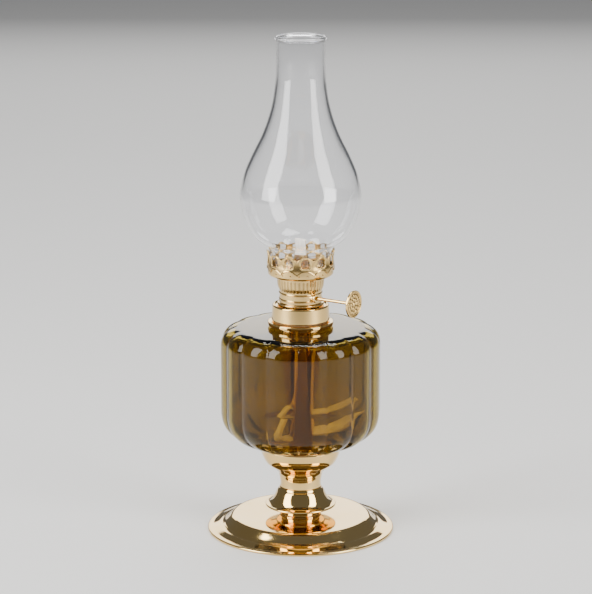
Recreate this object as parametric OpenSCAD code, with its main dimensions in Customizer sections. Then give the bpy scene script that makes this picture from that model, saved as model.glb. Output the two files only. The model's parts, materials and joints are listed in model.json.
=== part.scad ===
// Oil lamp: brass foot and stem, lobed glass font, flat-wick burner and glass chimney.
// Millimetres. +Z is up, the origin is the centre of the foot's underside,
// and the wick winder's shaft runs along +X.

/* [Foot] */
// Radius of the foot's rolled edge
foot_r = 46.7; // [40:0.1:56]
// Height of the foot's flat top
foot_h = 7.3; // [6.6:0.1:9]
// Thickness of the spun sheet
foot_sheet = 0.9; // [0.7:0.1:1.1]
// Radius of the flat top, where the step begins
foot_top_r = 34; // [28:0.1:36]
// Width of the step between flat top and flange
foot_step = 4.5; // [3.5:0.1:6]
// Height of the rolled edge
foot_edge_h = 1.2; // [1:0.1:1.5]

/* [Stem] */
// Height of the lower stem, from the foot's top to the waist
bell_h = 14.8; // [12.4:0.1:18]
// Radius of the lower stem's ring
bell_ring_r = 17.7; // [15:0.1:21]
// Radius of the plain neck under the ring
bell_neck_r = 9.6; // [8:0.1:11.5]
// Radius of the waist, where the two stem pieces meet
waist_r = 10.3; // [8.6:0.1:12.4]
// Height of the upper stem
flare_h = 9.5; // [8.3:0.1:12]
// Radius of the upper stem where it meets the cup
flare_r = 13; // [12.4:0.1:14]

/* [Font cup] */
// Height of the cup that holds the glass
cup_h = 11.4; // [10.6:0.1:13.6]
// Radius of the cup's rim
cup_r = 20.5; // [19.6:0.1:22]
// Thickness of the cup's sheet
cup_sheet = 0.9; // [0.7:0.1:1.1]

/* [Tie rod] */
// Radius of the rod through the stem
rod_r = 2; // [1.6:0.1:2.4]
// Distance across the flats of the two nuts
nut_af = 7; // [6:0.1:8.4]
// Height of each nut
nut_h = 2.6; // [2.2:0.1:3]
// Thickness of the washer
washer_t = 0.8; // [0.6:0.1:1]

/* [Font] */
// Radius of the glass over the lobes' crests
font_r = 40; // [34:0.1:48]
// Height of the lower curve, from the cup to where the sides begin
font_curve_h = 10.5; // [10:0.1:12.6]
// Height of the glass from its widest lower curve to its top
font_wall_h = 51; // [42:0.1:62]
// Radius of each lobe's own arc
lobe_r = 15; // [13:0.5:20]
// Number of lobes around the glass
lobes = 16; // [12:1:20]
// Thickness of the glass
font_glass = 2.8; // [2:0.1:3.3]
// Radius of the rounded shoulder
shoulder_r = 8.6; // [7:0.1:10.5]
// Radius of the hole in the glass neck
neck_r = 11.4; // [10.6:0.1:13.7]

/* [Collar] */
// Width of the collar's rolled flange, beyond its skirt
collar_lip = 2.6; // [2.2:0.1:3.1]
// Height of the collar above the glass
collar_h = 3.2; // [2.8:0.1:3.9]
// Thickness of the collar's sheet
collar_sheet = 0.7; // [0.5:0.1:0.8]
// Thickness of the cork gasket
gasket_t = 0.5; // [0.4:0.1:0.8]

/* [Burner] */
// Radius of the big polished ring at its foot
base_r = 14.5; // [14:0.1:17.4]
// Height of the big ring
base_h = 7.9; // [6.6:0.1:9.5]
// Radius of the narrow band above the ring
band_r = 10.5; // [9.4:0.1:12]
// Height of the narrow band
band_h = 6.5; // [6:0.1:7.8]
// Height of the flared cup above the band
flared_h = 7.7; // [6.8:0.1:9.2]
// Radius of the flared cup at its top
flared_r = 11.7; // [11:0.1:12.6]
// Thickness of the burner's sheet
sheet = 0.45; // [0.35:0.05:0.6]
// Height of the pierced bowl under the crown
bowl_h = 5.6; // [5.2:0.1:6.7]
// Height of the crown, from its lower points to its prongs
crown_h = 10.2; // [9.8:0.1:11]
// Number of windows around the crown
windows = 12; // [8:2:16]
// Width of a prong
prong_w = 4; // [3.2:0.1:4.8]

/* [Wick and winder] */
// Width of the flat wick
wick_w = 6; // [5:0.1:7.2]
// Thickness of the flat wick
wick_t = 1.3; // [1:0.1:1.6]
// Height of the wick above its tube
wick_show = 6.8; // [2:0.1:8]
// Radius of the winder's shaft
shaft_r = 0.8; // [0.65:0.05:1]
// Tip radius of the toothed wheels
wheel_r = 3.2; // [2.7:0.1:3.3]
// Teeth on each wheel
wheel_teeth = 12; // [8:1:16]
// Distance of the knob's face from the lamp's axis
knob_x = 34; // [28:0.1:41]
// Radius of the knob
knob_r = 6.8; // [5.6:0.1:8.2]
// Thickness of the knob
knob_t = 1.2; // [1:0.1:1.6]

/* [Chimney] */
// Radius of the straight foot that stands in the crown
fitter_r = 15.4; // [14.4:0.1:16.4]
// Radius of the bulge
bulge_r = 29.8; // [25:0.1:35.8]
// Radius of the upper tube
tube_r = 12; // [10:0.1:14.4]
// Height of the chimney
chimney_h = 117.2; // [98:0.1:141]
// Thickness of the chimney's glass
chimney_glass = 1.2; // [0.9:0.1:1.5]

/* [Fits] */
// Radial clearance of the shaft in its bush
shaft_fit = 0.05; // [0.02:0.01:0.1]
// Clearance between the chimney and the crown
chimney_fit = 0.35; // [0.2:0.05:0.6]
// Clearance between the wick and its tube
wick_fit = 0.25; // [0.15:0.05:0.4]
// Clearance between the burner's plug and the collar
plug_fit = 0.3; // [0.15:0.05:0.5]
// Gap between faces that rest on each other but belong to different bodies
rest_gap = 0.04; // [0.02:0.01:0.1]
// Overlap of sheet pieces that are pressed together
press = 0.05; // [0.02:0.01:0.08]

/* [Hidden] */
$fn = 96;

BRASS = "#c9a860";
DARK_BRASS = "#8f7436";
STEEL = "#9a9ca0";
AMBER = "#6a4a12";
CLEAR = "#cfd6e6";
COTTON = "#eadfc8";
PLASTER = "#d9d2c2";
CORK = "#a57c52";

// Heights of the stacked pieces, from the table up
z_bell = foot_h;
z_waist = z_bell + bell_h;
z_cup = z_waist + flare_h;
z_cup_floor = z_cup + cup_sheet;
z_cup_rim = z_cup + cup_h;
z_curve = z_cup_rim + font_curve_h;
z_glass_top = z_curve + font_wall_h;
z_collar = z_glass_top + collar_h;
z_base = z_collar + gasket_t + 2 * rest_gap;
z_shell = z_base + base_h;
z_flared = z_shell + band_h;
z_bowl = z_flared + flared_h;
z_ledge = z_bowl + 1.9;
z_chimney = z_ledge + rest_gap;
z_tube_top = z_chimney + 10;

// Glass font: the space inside, and where its first lobe stands
font_in_r = font_r - lobe_sag() - font_glass;
font_floor = z_cup_rim + 3.5;
font_roof = z_glass_top - font_glass;
peg_r = cup_r - 6.4;
peg_z = z_cup_rim - 4.6;
lobe_turn = -3.85;

// Collar and burner plug
neck_wall = 1;
neck_h = 1.4;
skirt_in = neck_r + neck_wall + 0.6;
skirt_r = skirt_in + collar_sheet;
collar_r = skirt_r + collar_lip;
sleeve_r = neck_r - 0.2;
plug_r = sleeve_r - collar_sheet - plug_fit;
sleeve_len = font_glass + 2.5;

// Crown
crown_in_r = fitter_r + chimney_fit;
crown_out_r = crown_in_r + sheet;
crown_low_r = crown_out_r + 0.45;
z_crown = z_bowl + bowl_h - 2.2;
window_step = 360 / windows;
// The first window, under a prong, is just beside the winder's shaft
window_turn = -18.5;

// Winder
shaft_y = -(wick_t / 2 + 0.1 + wheel_r);
shaft_z = z_shell + 4.9;
wheel_t = 1;
wheel_pitch = 1.8;
ear_x = wheel_pitch + wheel_t / 2 + 0.35;
ear_t = 0.5;
bush_r = shaft_r + 1;
tube_w = wick_w + 2 * wick_fit;
tube_t = wick_t + 2 * wick_fit;
tube_wall = 0.3;

// Wick
z_wick_top = z_tube_top + wick_show;
z_wick_low = font_floor + 9.4;
tail_turn = 60;
tail_room = font_in_r - 2;
// Route of the wick's loose end in its own upright plane: across, up from the wick's lower end
TAIL = [[0, 0], [0, -1.8], [-1, -3.2], [-2.6, -2.6], [-3.8, 0.6], [-4.8, 3.8], [-6, 5],
    [-7.2, 3.8], [-8.4, 0.6], [-9.6, -3.4], [-8.8, -5.4], [-6, -5.8], [-1, -5.7], [4, -4.9], [9, -4.5],
    [14, -3.6], [19, -1.2], [23, 2.2], [27, 5.2]];

// How far a groove lies inside the lobes' crests
function lobe_sag() =
    let (c = font_r - lobe_r, h = 180 / lobes)
    font_r - (c * cos(h) + sqrt(lobe_r * lobe_r - pow(c * sin(h), 2)));

// Points along an arc, from angle a to angle b
function arc(x, y, r, a, b, n = 10) =
    [for (i = [0:n]) let (t = a + (b - a) * i / n) [x + r * cos(t), y + r * sin(t)]];

// A smooth curve through a list of points, n steps to each span
function curve(p, n = 6) = [
    for (i = [0:len(p) - 2], k = [0:n - 1])
        let (t = k / n, a = p[max(i - 1, 0)], b = p[i], c = p[i + 1], d = p[min(i + 2, len(p) - 1)])
        0.5 * (2 * b + (c - a) * t + (2 * a - 5 * b + 4 * c - d) * t * t
            + (3 * b - a - 3 * c + d) * t * t * t),
    p[len(p) - 1]];

function flip(p) = [for (i = [len(p) - 1:-1:0]) p[i]];
function shift(p, x, y = 0) = [for (q = p) [q.x + x, q.y + y]];

// The direction of a line of points at point i
function along(p, i) =
    let (d = p[min(i + 1, len(p) - 1)] - p[max(i - 1, 0)]) d / norm(d);

// A line of points moved to its left by t
function inset(p, t) = [for (i = [0:len(p) - 1]) let (d = along(p, i)) p[i] + [-d.y, d.x] * t];

// The two sides of a strip of thickness t that follows a line of points
function strip(p, t) = concat(inset(p, t / 2), flip(inset(p, -t / 2)));

// A shell turned from an outer line of points and one moved in by the wall
module turned_shell(outer, wall) {
    rotate_extrude() polygon(concat(outer, flip(shift(outer, -wall))));
}

// A flat outline that stands across a radius: its x runs around, its y up
module radial_cut(angle, r0, r1) {
    rotate([0, 0, angle]) translate([r0, 0, 0]) rotate([90, 0, 90]) linear_extrude(r1 - r0) children();
}

module stadium(w, t) {
    square([w - t, t], center = true);
    for (s = [-1, 1]) translate([s * (w - t) / 2, 0]) circle(d = t, $fn = 32);
}

module nut(z) {
    translate([0, 0, z]) difference() {
        cylinder(d = nut_af / cos(30), h = nut_h, $fn = 6);
        translate([0, 0, -1]) cylinder(r = rod_r, h = nut_h + 2);
    }
}

// ---- foot and stem

module foot_disc() {
    step_r = foot_top_r + foot_step;
    step_z = foot_h * 0.42;
    outer = concat(
        [[rod_r, foot_h], [foot_top_r - 1.2, foot_h]],
        curve([[foot_top_r - 0.4, foot_h - 0.05], [foot_top_r + 1.2, foot_h - 1],
            [step_r - 1, step_z + 0.7], [step_r + 0.8, step_z - 0.15]], 5),
        [[foot_r - 1.6, foot_edge_h + 0.15]],
        arc(foot_r - 0.6, foot_edge_h - 0.6, 0.6, 90, 0, 6),
        [[foot_r, 0]]);
    inner = concat(
        [[foot_r - 1.9, 0], [foot_r - 1.9, foot_edge_h - 0.55],
            [step_r, step_z - foot_sheet]],
        [[foot_top_r - 0.6, foot_h - foot_sheet], [rod_r, foot_h - foot_sheet]]);
    color(BRASS) rotate_extrude() polygon(concat(outer, inner));
}

module stem_lower() {
    ring_z = z_bell + 4.9;
    color(BRASS) rotate_extrude() polygon(concat(
        [[rod_r, z_bell], [bell_neck_r + 0.5, z_bell], [bell_neck_r, z_bell + 0.7],
            [bell_neck_r, z_bell + 2.8], [bell_neck_r + 2.4, z_bell + 3.1],
            [bell_neck_r + 2.4, z_bell + 3.7]],
        [[bell_ring_r - 0.6, ring_z]],
        arc(bell_ring_r - 0.5, ring_z + 0.5, 0.5, -90, 90, 6),
        curve([[bell_ring_r - 0.7, ring_z + 1.05], [bell_ring_r - 2.1, ring_z + 1.4],
            [bell_ring_r - 3.4, ring_z + 2.7], [bell_ring_r - 4.5, ring_z + 4.6],
            [waist_r + 1.4, z_waist - 2.1], [waist_r + 0.6, z_waist - 1.1], [waist_r, z_waist]], 4),
        [[rod_r, z_waist]]));
}

module stem_upper() {
    color(BRASS) rotate_extrude() polygon(concat(
        [[rod_r, z_waist]],
        curve([[waist_r, z_waist], [waist_r - 0.1, z_waist + 1.9], [waist_r + 0.1, z_waist + 3.9],
            [waist_r + 0.5, z_waist + 5.9], [flare_r - 1.7, z_cup - 1.8], [flare_r - 0.8, z_cup - 0.6],
            [flare_r, z_cup]], 4),
        [[rod_r, z_cup]]));
}

module font_cup() {
    wall_out = curve([[flare_r, z_cup], [cup_r - 6.2, z_cup + 1], [cup_r - 4.3, z_cup + 2.3],
        [cup_r - 3.1, z_cup + 3.4], [cup_r - 2.1, z_cup + 5], [cup_r - 1.2, z_cup + 7],
        [cup_r - 0.6, z_cup + 8.9], [cup_r, z_cup_rim]], 4);
    color(BRASS) rotate_extrude() polygon(concat(
        [[rod_r, z_cup_floor], [rod_r, z_cup]],
        wall_out,
        [[cup_r - cup_sheet, z_cup_rim]],
        flip([for (q = inset(wall_out, cup_sheet)) if (q.y > z_cup_floor && q.y < z_cup_rim - 0.3) q]),
        [[flare_r - 0.6, z_cup_floor]]));
}

module tie_rod() {
    low = foot_h - foot_sheet - washer_t - nut_h - 0.6;
    high = z_cup_floor + nut_h + 0.6;
    color(STEEL) rotate_extrude() polygon([[0, low], [rod_r - 0.4, low], [rod_r, low + 0.4],
        [rod_r, high - 0.4], [rod_r - 0.4, high], [0, high]]);
}

module tie_nut() {
    color(STEEL) nut(foot_h - foot_sheet - washer_t - nut_h);
}

module tie_washer() {
    color(STEEL) translate([0, 0, foot_h - foot_sheet - washer_t]) difference() {
        cylinder(r = nut_af * 0.8, h = washer_t);
        translate([0, 0, -1]) cylinder(r = rod_r, h = washer_t + 2);
    }
}

module cup_nut() {
    color(STEEL) nut(z_cup_floor);
}

// The glass underneath, from the peg in the cup to the lower curve
function glass_under() = concat(
    [[0, peg_z], [peg_r, peg_z], [peg_r + 1, peg_z + 1.3], [cup_r - 2.6, z_cup_rim - 1.2],
        [cup_r - 1.3, z_cup_rim + 0.15], [cup_r, z_cup_rim + 0.3]],
    curve([[cup_r + 0.9, z_cup_rim + 0.5], [font_r - 13.8, z_cup_rim + 2.1],
        [font_r - 9.2, z_cup_rim + 4.1], [font_r - 5.4, z_cup_rim + 6.8], [font_r - 2.4, z_curve - 0.3],
        [font_r - 0.7, z_curve + 3.5], [font_r + 0.1, z_curve + 7.5], [font_r + 0.5, z_curve + 11]], 4));

module cup_cement() {
    // Fills the cup up to the glass and around the nut
    color(PLASTER) difference() {
        rotate_extrude() polygon([[0, z_cup_floor], [flare_r - 0.6, z_cup_floor],
            [cup_r - 5.4, z_cup + 3.2], [cup_r - 3.2, z_cup_rim - 5], [peg_r + 1, peg_z + 1.3],
            [peg_r, peg_z], [0, peg_z]]);
        translate([0, 0, z_cup_floor - 1])
            cylinder(d = nut_af / cos(30), h = nut_h + 1, $fn = 6);
        translate([0, 0, z_cup_floor - 1]) cylinder(r = rod_r, h = nut_h + 1.6);
    }
}

// ---- glass font

module lobed_outline() {
    circle(r = font_r - lobe_r);
    for (i = [0:lobes - 1])
        rotate(lobe_turn + i * 360 / lobes) translate([font_r - lobe_r, 0]) circle(r = lobe_r);
}

module font() {
    neck_out = neck_r + neck_wall;
    neck_top = z_glass_top + neck_h;
    out_r = font_r + 0.5;
    round_in = shoulder_r - font_glass;
    color(AMBER, 0.6) difference() {
        intersection() {
            rotate_extrude() polygon(concat(
                glass_under(),
                arc(out_r - shoulder_r, z_glass_top - shoulder_r, shoulder_r, 0, 90, 8),
                [[neck_out, z_glass_top], [neck_out, neck_top], [0, neck_top]]));
            translate([0, 0, peg_z - 1]) linear_extrude(neck_top - peg_z + 2) lobed_outline();
        }
        rotate_extrude() polygon(concat(
            [[0, font_floor], [cup_r + 3, font_floor]],
            curve([[cup_r + 4.5, font_floor + 0.2], [font_in_r - 5, font_floor + 3.4],
                [font_in_r - 1.2, font_floor + 8.2], [font_in_r, font_floor + 13.5]], 5),
            arc(font_in_r - round_in, font_roof - round_in, round_in, 0, 90, 8),
            [[neck_r, font_roof], [neck_r, neck_top + 1], [0, neck_top + 1]]));
    }
}

module font_collar() {
    in_r = sleeve_r - collar_sheet;
    bead = 1.05;
    plate = z_collar - collar_sheet;
    color(BRASS) rotate_extrude() polygon(concat(
        [[in_r, z_collar - sleeve_len - 1], [sleeve_r, z_collar - sleeve_len - 1], [sleeve_r, plate],
            [skirt_in, plate], [skirt_in, z_glass_top],
            [skirt_r, z_glass_top], [skirt_r, z_collar - 2 * bead]],
        arc(collar_r - bead, z_collar - bead, bead, -90, 90, 8),
        [[in_r, z_collar]]));
}

module collar_cement() {
    neck_out = neck_r + neck_wall;
    color(PLASTER) rotate_extrude() polygon([
        [neck_out, z_glass_top], [skirt_in, z_glass_top], [skirt_in, z_collar - collar_sheet],
        [sleeve_r, z_collar - collar_sheet], [sleeve_r, z_glass_top + neck_h],
        [neck_out, z_glass_top + neck_h]]);
}

module collar_gasket() {
    color(CORK) translate([0, 0, z_collar + rest_gap]) difference() {
        cylinder(r = base_r - 1, h = gasket_t);
        translate([0, 0, -1]) cylinder(r = plug_r + plug_fit, h = gasket_t + 2);
    }
}

// ---- burner

module burner_base() {
    wall = 0.6;
    in_r = plug_r - wall;
    thread_pitch = 1.2;
    top_r = base_r - 0.5;
    color(BRASS) difference() {
        rotate_extrude() polygon(concat(
            [[in_r, z_base - sleeve_len], [plug_r - 0.3, z_base - sleeve_len],
                [plug_r, z_base - sleeve_len + 0.4], [plug_r, z_base], [base_r - 0.3, z_base],
                [base_r, z_base + 0.4]],
            arc(top_r - 1.2, z_shell - 1.2, 1.2, 0, 90, 6),
            [[band_r - 1.6, z_shell], [band_r - 1.6, z_shell - wall],
                [top_r - 1.2, z_shell - wall], [top_r - wall, z_shell - 1.2],
                [base_r - wall, z_base + wall], [in_r, z_base + wall]]));
        for (i = [0:2])
            translate([0, 0, z_base - 1.2 - i * thread_pitch]) rotate_extrude()
                translate([plug_r, 0]) rotate(45) square(0.35, center = true);
    }
}

module burner_shell() {
    flare = curve([[band_r, z_flared], [band_r + 0.1, z_flared + 0.9], [flared_r - 0.4, z_bowl - 5],
        [flared_r - 0.1, z_bowl - 3], [flared_r, z_bowl]], 4);
    outer = concat(
        [[band_r + 1.1, z_shell]],
        arc(band_r + 0.5, z_shell + 0.65, 0.65, -60, 80, 5),
        [[band_r, z_shell + 1.5], [band_r, z_shell + 2.4]],
        arc(band_r, z_shell + 2.75, 0.25, -80, 80, 4),
        [[band_r, z_shell + 3.1], [band_r, z_flared - 0.8]],
        arc(band_r, z_flared - 0.4, 0.3, -80, 80, 4),
        flare);
    color(DARK_BRASS) difference() {
        rotate_extrude() polygon(concat(outer,
            flip(shift(flare, -sheet)),
            [[band_r - sheet, z_shell + sheet], [band_r - 1.6, z_shell + sheet],
                [band_r - 1.6, z_shell]]));
        translate([0, shaft_y, shaft_z]) rotate([0, 90, 0]) cylinder(r = bush_r, h = band_r + 5);
    }
}

module shaft_bush() {
    inner_x = sqrt(pow(band_r, 2) - pow(abs(shaft_y) + bush_r, 2)) - 0.8;
    outer_x = band_r + 1.6;
    color(BRASS) translate([0, shaft_y, shaft_z]) rotate([0, 90, 0]) difference() {
        union() {
            translate([0, 0, inner_x]) cylinder(r = bush_r, h = outer_x - inner_x);
            translate([0, 0, outer_x - 0.9]) cylinder(r = bush_r + 0.5, h = 0.9);
        }
        cylinder(r = shaft_r + shaft_fit, h = outer_x + 5);
    }
}

// The middle of the bowl's sheet, from its foot on the shell to its rim inside the crown
function bowl_line() =
    let (r = crown_low_r - 1.5 * sheet + press, z = z_bowl + sheet / 2)
    concat([[flared_r - sheet, z]], curve([[flared_r + 0.2, z], [flared_r + 2.7, z + 0.35],
        [r - 0.4, z + 1.1], [r, z + 1.9], [r, z_bowl + bowl_h]], 3));

module gallery_bowl() {
    color(DARK_BRASS) difference() {
        rotate_extrude() polygon(strip(bowl_line(), sheet));
        for (i = [0:23]) rotate([0, 0, i * 15]) {
            translate([crown_low_r - 3.4, 0, z_bowl + 3]) rotate([0, 90, 0])
                cylinder(r = 0.4, h = 6, $fn = 16);
            rotate([0, 0, 7.5]) translate([crown_low_r - 3.3, 0, z_bowl + 2.3]) rotate([0, 135, 0])
                cylinder(r = 0.4, h = 4, $fn = 16);
        }
    }
}

// One crown window: a six-sided hole that stands on a flat sill
module window_outline(w, h) {
    polygon([[-w / 2, h * 0.12], [-w * 0.34, 0], [w * 0.34, 0], [w / 2, h * 0.12],
        [w / 2, h * 0.68], [w * 0.2, h], [-w * 0.2, h], [-w / 2, h * 0.68]]);
}

// What is cut from the crown's upper edge at a rib: prong on the left, plain arch on the right
module rib_notch(valley, top, half) {
    prong = half - prong_w / 2 * cos(window_step / 2);
    head = prong_w / 2;
    arch = valley + 1.9;
    polygon(concat(
        [[0, valley], [half * 0.35, arch - 0.9], [half * 0.7, arch - 0.2], [half, arch],
            [half * 1.1, arch], [half * 1.1, top + 2], [-half * 1.1, top + 2], [-half * 1.1, top]],
        arc(-half, top - head, head, 90, 0, 7),
        [[-prong, valley + 0.8]]));
}

module gallery_crown() {
    z_top = z_crown + crown_h;
    line = curve([[crown_low_r, z_crown], [crown_low_r, z_crown + 2.2], [crown_out_r + 0.1, z_crown + 4.2],
        [crown_out_r, z_crown + 6], [crown_out_r + 0.15, z_crown + 7.6], [crown_out_r + 0.6, z_top]], 2);
    sill = z_crown + 3.6;
    window_h = crown_h * 0.43;
    half = crown_out_r * sin(window_step / 2);
    color(BRASS) difference() {
        turned_shell(line, sheet);
        for (i = [0:windows - 1]) {
            radial_cut(window_turn + i * window_step, 8, 24)
                translate([0, sill]) window_outline(half, window_h);
            radial_cut(window_turn + i * window_step, 8, 24)
                polygon([for (p = [[-0.9, -1], [-0.85, 0], [-0.6, 1.1], [-0.25, 1.75], [0.25, 1.75],
                    [0.6, 1.1], [0.85, 0], [0.9, -1]]) [p.x * half, z_crown + p.y]]);
            radial_cut(window_turn + (i + 0.5) * window_step, 8, 24)
                mirror([i % 2, 0]) rib_notch(z_top - 3, z_top, half);
        }
    }
}

module air_disc() {
    hole_rows = [[7.4, 18], [9.6, 24], [11.8, 30]];
    slot_gap = 0.2;
    color(DARK_BRASS) translate([0, 0, z_ledge - sheet]) difference() {
        cylinder(r = fitter_r + 0.35, h = sheet);
        translate([0, 0, -1]) linear_extrude(sheet + 2)
            stadium(tube_w + 2 * (tube_wall + slot_gap), tube_t + 2 * (tube_wall + slot_gap));
        for (row = hole_rows, i = [0:row[1] - 1])
            rotate([0, 0, i * 360 / row[1]]) translate([row[0], 0, -1])
                cylinder(r = 0.6, h = sheet + 2, $fn = 16);
    }
}

module wick_tube() {
    low = z_shell - 0.2;
    window_half = wheel_r + 0.6;
    color(BRASS) {
        difference() {
            translate([0, 0, low]) linear_extrude(z_tube_top - low) difference() {
                stadium(tube_w + 2 * tube_wall, tube_t + 2 * tube_wall);
                stadium(tube_w, tube_t);
            }
            translate([-ear_x, -5 - tube_t / 4, shaft_z - window_half])
                cube([2 * ear_x, 5, 2 * window_half]);
        }
        for (s = [-1, 1]) difference() {
            translate([s * (ear_x + ear_t / 2) - ear_t / 2, shaft_y - shaft_r - 0.8, shaft_z - 2])
                cube([ear_t, abs(shaft_y) + shaft_r + 0.8 - tube_t / 2 + 0.15, 4]);
            translate([0, shaft_y, shaft_z]) rotate([0, 90, 0])
                cylinder(r = shaft_r + shaft_fit, h = 2 * ear_x + 4, center = true);
        }
    }
}

// ---- winder

module knob_shaft() {
    color(BRASS) translate([-ear_x - ear_t - 0.8, shaft_y, shaft_z]) rotate([0, 90, 0])
        cylinder(r = shaft_r, h = knob_x - knob_t + ear_x + ear_t + 0.8);
}

module spur_wheels() {
    root_r = wheel_r - 0.8;
    color(DARK_BRASS) for (s = [-1, 0, 1])
        translate([s * wheel_pitch - wheel_t / 2, shaft_y, shaft_z]) rotate([90, 0, 90])
            linear_extrude(wheel_t) difference() {
                polygon([for (i = [0:2 * wheel_teeth - 1])
                    let (r = i % 2 == 0 ? wheel_r : root_r, a = i * 180 / wheel_teeth)
                    [r * cos(a), r * sin(a)]]);
                circle(r = shaft_r);
            }
}

module wick_knob() {
    hub = 2.4;
    rim = 0.9;
    color(BRASS) translate([knob_x - knob_t - hub, shaft_y, shaft_z]) rotate([0, 90, 0])
        difference() {
            rotate_extrude() polygon(concat(
                [[0, 0], [shaft_r + 0.7, 0], [shaft_r + 1, hub - 0.4], [shaft_r + 1.6, hub],
                    [knob_r - 0.6, hub]],
                arc(knob_r - 0.6, hub + knob_t / 2, knob_t / 2, -90, 90, 6),
                [[knob_r - rim - 0.2, hub + knob_t], [knob_r - rim - 0.6, hub + knob_t - 0.35],
                    [0, hub + knob_t - 0.35]]));
            translate([0, 0, -1]) cylinder(r = shaft_r, h = hub + 1);
        }
}

// ---- wick

module wick() {
    color(COTTON) translate([0, 0, z_wick_low]) linear_extrude(z_wick_top - z_wick_low)
        stadium(wick_w, wick_t);
}

module wick_tail() {
    reach = tail_room / 31;
    route = curve([for (p = TAIL) [p.x * reach, p.y]], 4);
    color(COTTON) translate([0, 0, z_wick_low]) rotate([90, 0, tail_turn])
        linear_extrude(wick_w - 0.6, center = true) polygon(strip(route, wick_t));
}

// ---- chimney

// The outside of the glass, from its foot to its rim: radius and height above the foot
function chimney_line() =
    let (k = (chimney_h - 10) / 107.2, out = bulge_r - fitter_r, in = bulge_r - tube_r)
    concat([[fitter_r, 0]], curve([[fitter_r, 10.2],
        [fitter_r + out * 0.104, 10.2 + 3.1 * k], [fitter_r + out * 0.528, 10 + 8.4 * k],
        [fitter_r + out * 0.861, 10 + 17.5 * k], [fitter_r + out * 0.98, 10 + 25 * k],
        [bulge_r, 10 + 30.3 * k], [bulge_r - in * 0.107, 10 + 39 * k],
        [bulge_r - in * 0.305, 10 + 47.5 * k], [bulge_r - in * 0.627, 10 + 59.3 * k],
        [bulge_r - in * 0.853, 10 + 71.3 * k], [bulge_r - in * 0.966, 10 + 83.3 * k],
        [tube_r, 10 + 93 * k], [tube_r, chimney_h]], 5));

module chimney() {
    color(CLEAR, 0.35) translate([0, 0, z_chimney]) turned_shell(chimney_line(), chimney_glass);
}

foot_disc();
stem_lower();
stem_upper();
font_cup();
tie_rod();
tie_nut();
tie_washer();
cup_nut();
cup_cement();
font();
font_collar();
collar_cement();
collar_gasket();
burner_base();
burner_shell();
gallery_bowl();
gallery_crown();
air_disc();
wick_tube();
shaft_bush();
knob_shaft();
spur_wheels();
wick_knob();
wick();
wick_tail();
chimney();
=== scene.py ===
"""Looks of a table oil lamp, built around its fixed frame: turned and spun brass, a lobed amber glass
font with oil and a cotton wick in it, a pierced brass crown and a clear glass chimney."""
import json
import math

import bpy
import numpy as np
from bpy.props import FloatProperty, FloatVectorProperty, IntProperty, PointerProperty
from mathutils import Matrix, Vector


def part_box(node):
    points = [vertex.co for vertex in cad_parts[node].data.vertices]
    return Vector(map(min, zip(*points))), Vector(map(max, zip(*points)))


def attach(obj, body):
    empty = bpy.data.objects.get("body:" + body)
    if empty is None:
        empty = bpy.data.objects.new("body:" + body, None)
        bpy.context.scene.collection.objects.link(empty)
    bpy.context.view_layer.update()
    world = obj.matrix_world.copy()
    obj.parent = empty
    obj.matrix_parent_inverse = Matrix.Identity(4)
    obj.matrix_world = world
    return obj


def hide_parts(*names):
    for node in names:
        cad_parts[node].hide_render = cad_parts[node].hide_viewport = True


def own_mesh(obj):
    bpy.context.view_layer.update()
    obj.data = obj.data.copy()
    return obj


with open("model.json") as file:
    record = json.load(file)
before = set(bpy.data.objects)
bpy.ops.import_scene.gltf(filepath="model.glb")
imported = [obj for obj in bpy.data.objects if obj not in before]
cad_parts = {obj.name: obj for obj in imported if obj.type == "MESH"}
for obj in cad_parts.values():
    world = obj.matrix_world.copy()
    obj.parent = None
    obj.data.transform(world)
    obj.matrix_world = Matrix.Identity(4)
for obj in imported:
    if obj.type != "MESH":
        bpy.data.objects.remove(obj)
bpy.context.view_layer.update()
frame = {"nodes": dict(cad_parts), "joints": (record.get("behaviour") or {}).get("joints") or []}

bl_info = {
    "name": "Oil lamp",
    "version": (1, 0, 0),
    "blender": (4, 5, 0),
    "location": "View3D > Sidebar > Oil lamp",
    "description": "Builds the looks of a brass and glass table oil lamp",
    "category": "Object",
}

MM = 0.001
TAU = 2 * math.pi


# ---------------------------------------------------------------- places taken from the frame

def low(node):
    """Lowest height of a CAD node, in millimetres."""
    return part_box(node)[0].z / MM


def high(node):
    """Highest point of a CAD node, in millimetres."""
    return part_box(node)[1].z / MM


def reach(node):
    """Outer radius of a turned CAD node, in millimetres."""
    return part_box(node)[1].x / MM


def joint_place(name):
    """A point on a joint's axis, in millimetres."""
    joint = next(j for j in frame["joints"] if j["name"] == name)
    return Vector(joint["pos_m"]) / MM


# ---------------------------------------------------------------- sizes and colours to change

def length(name, default, description, top=200.0):
    return FloatProperty(name=name, description=description, default=default, min=0.0, max=top)


def colour(name, default, description):
    return FloatVectorProperty(name=name, description=description, default=default, size=3,
                               min=0.0, max=1.0, subtype="COLOR")


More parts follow.
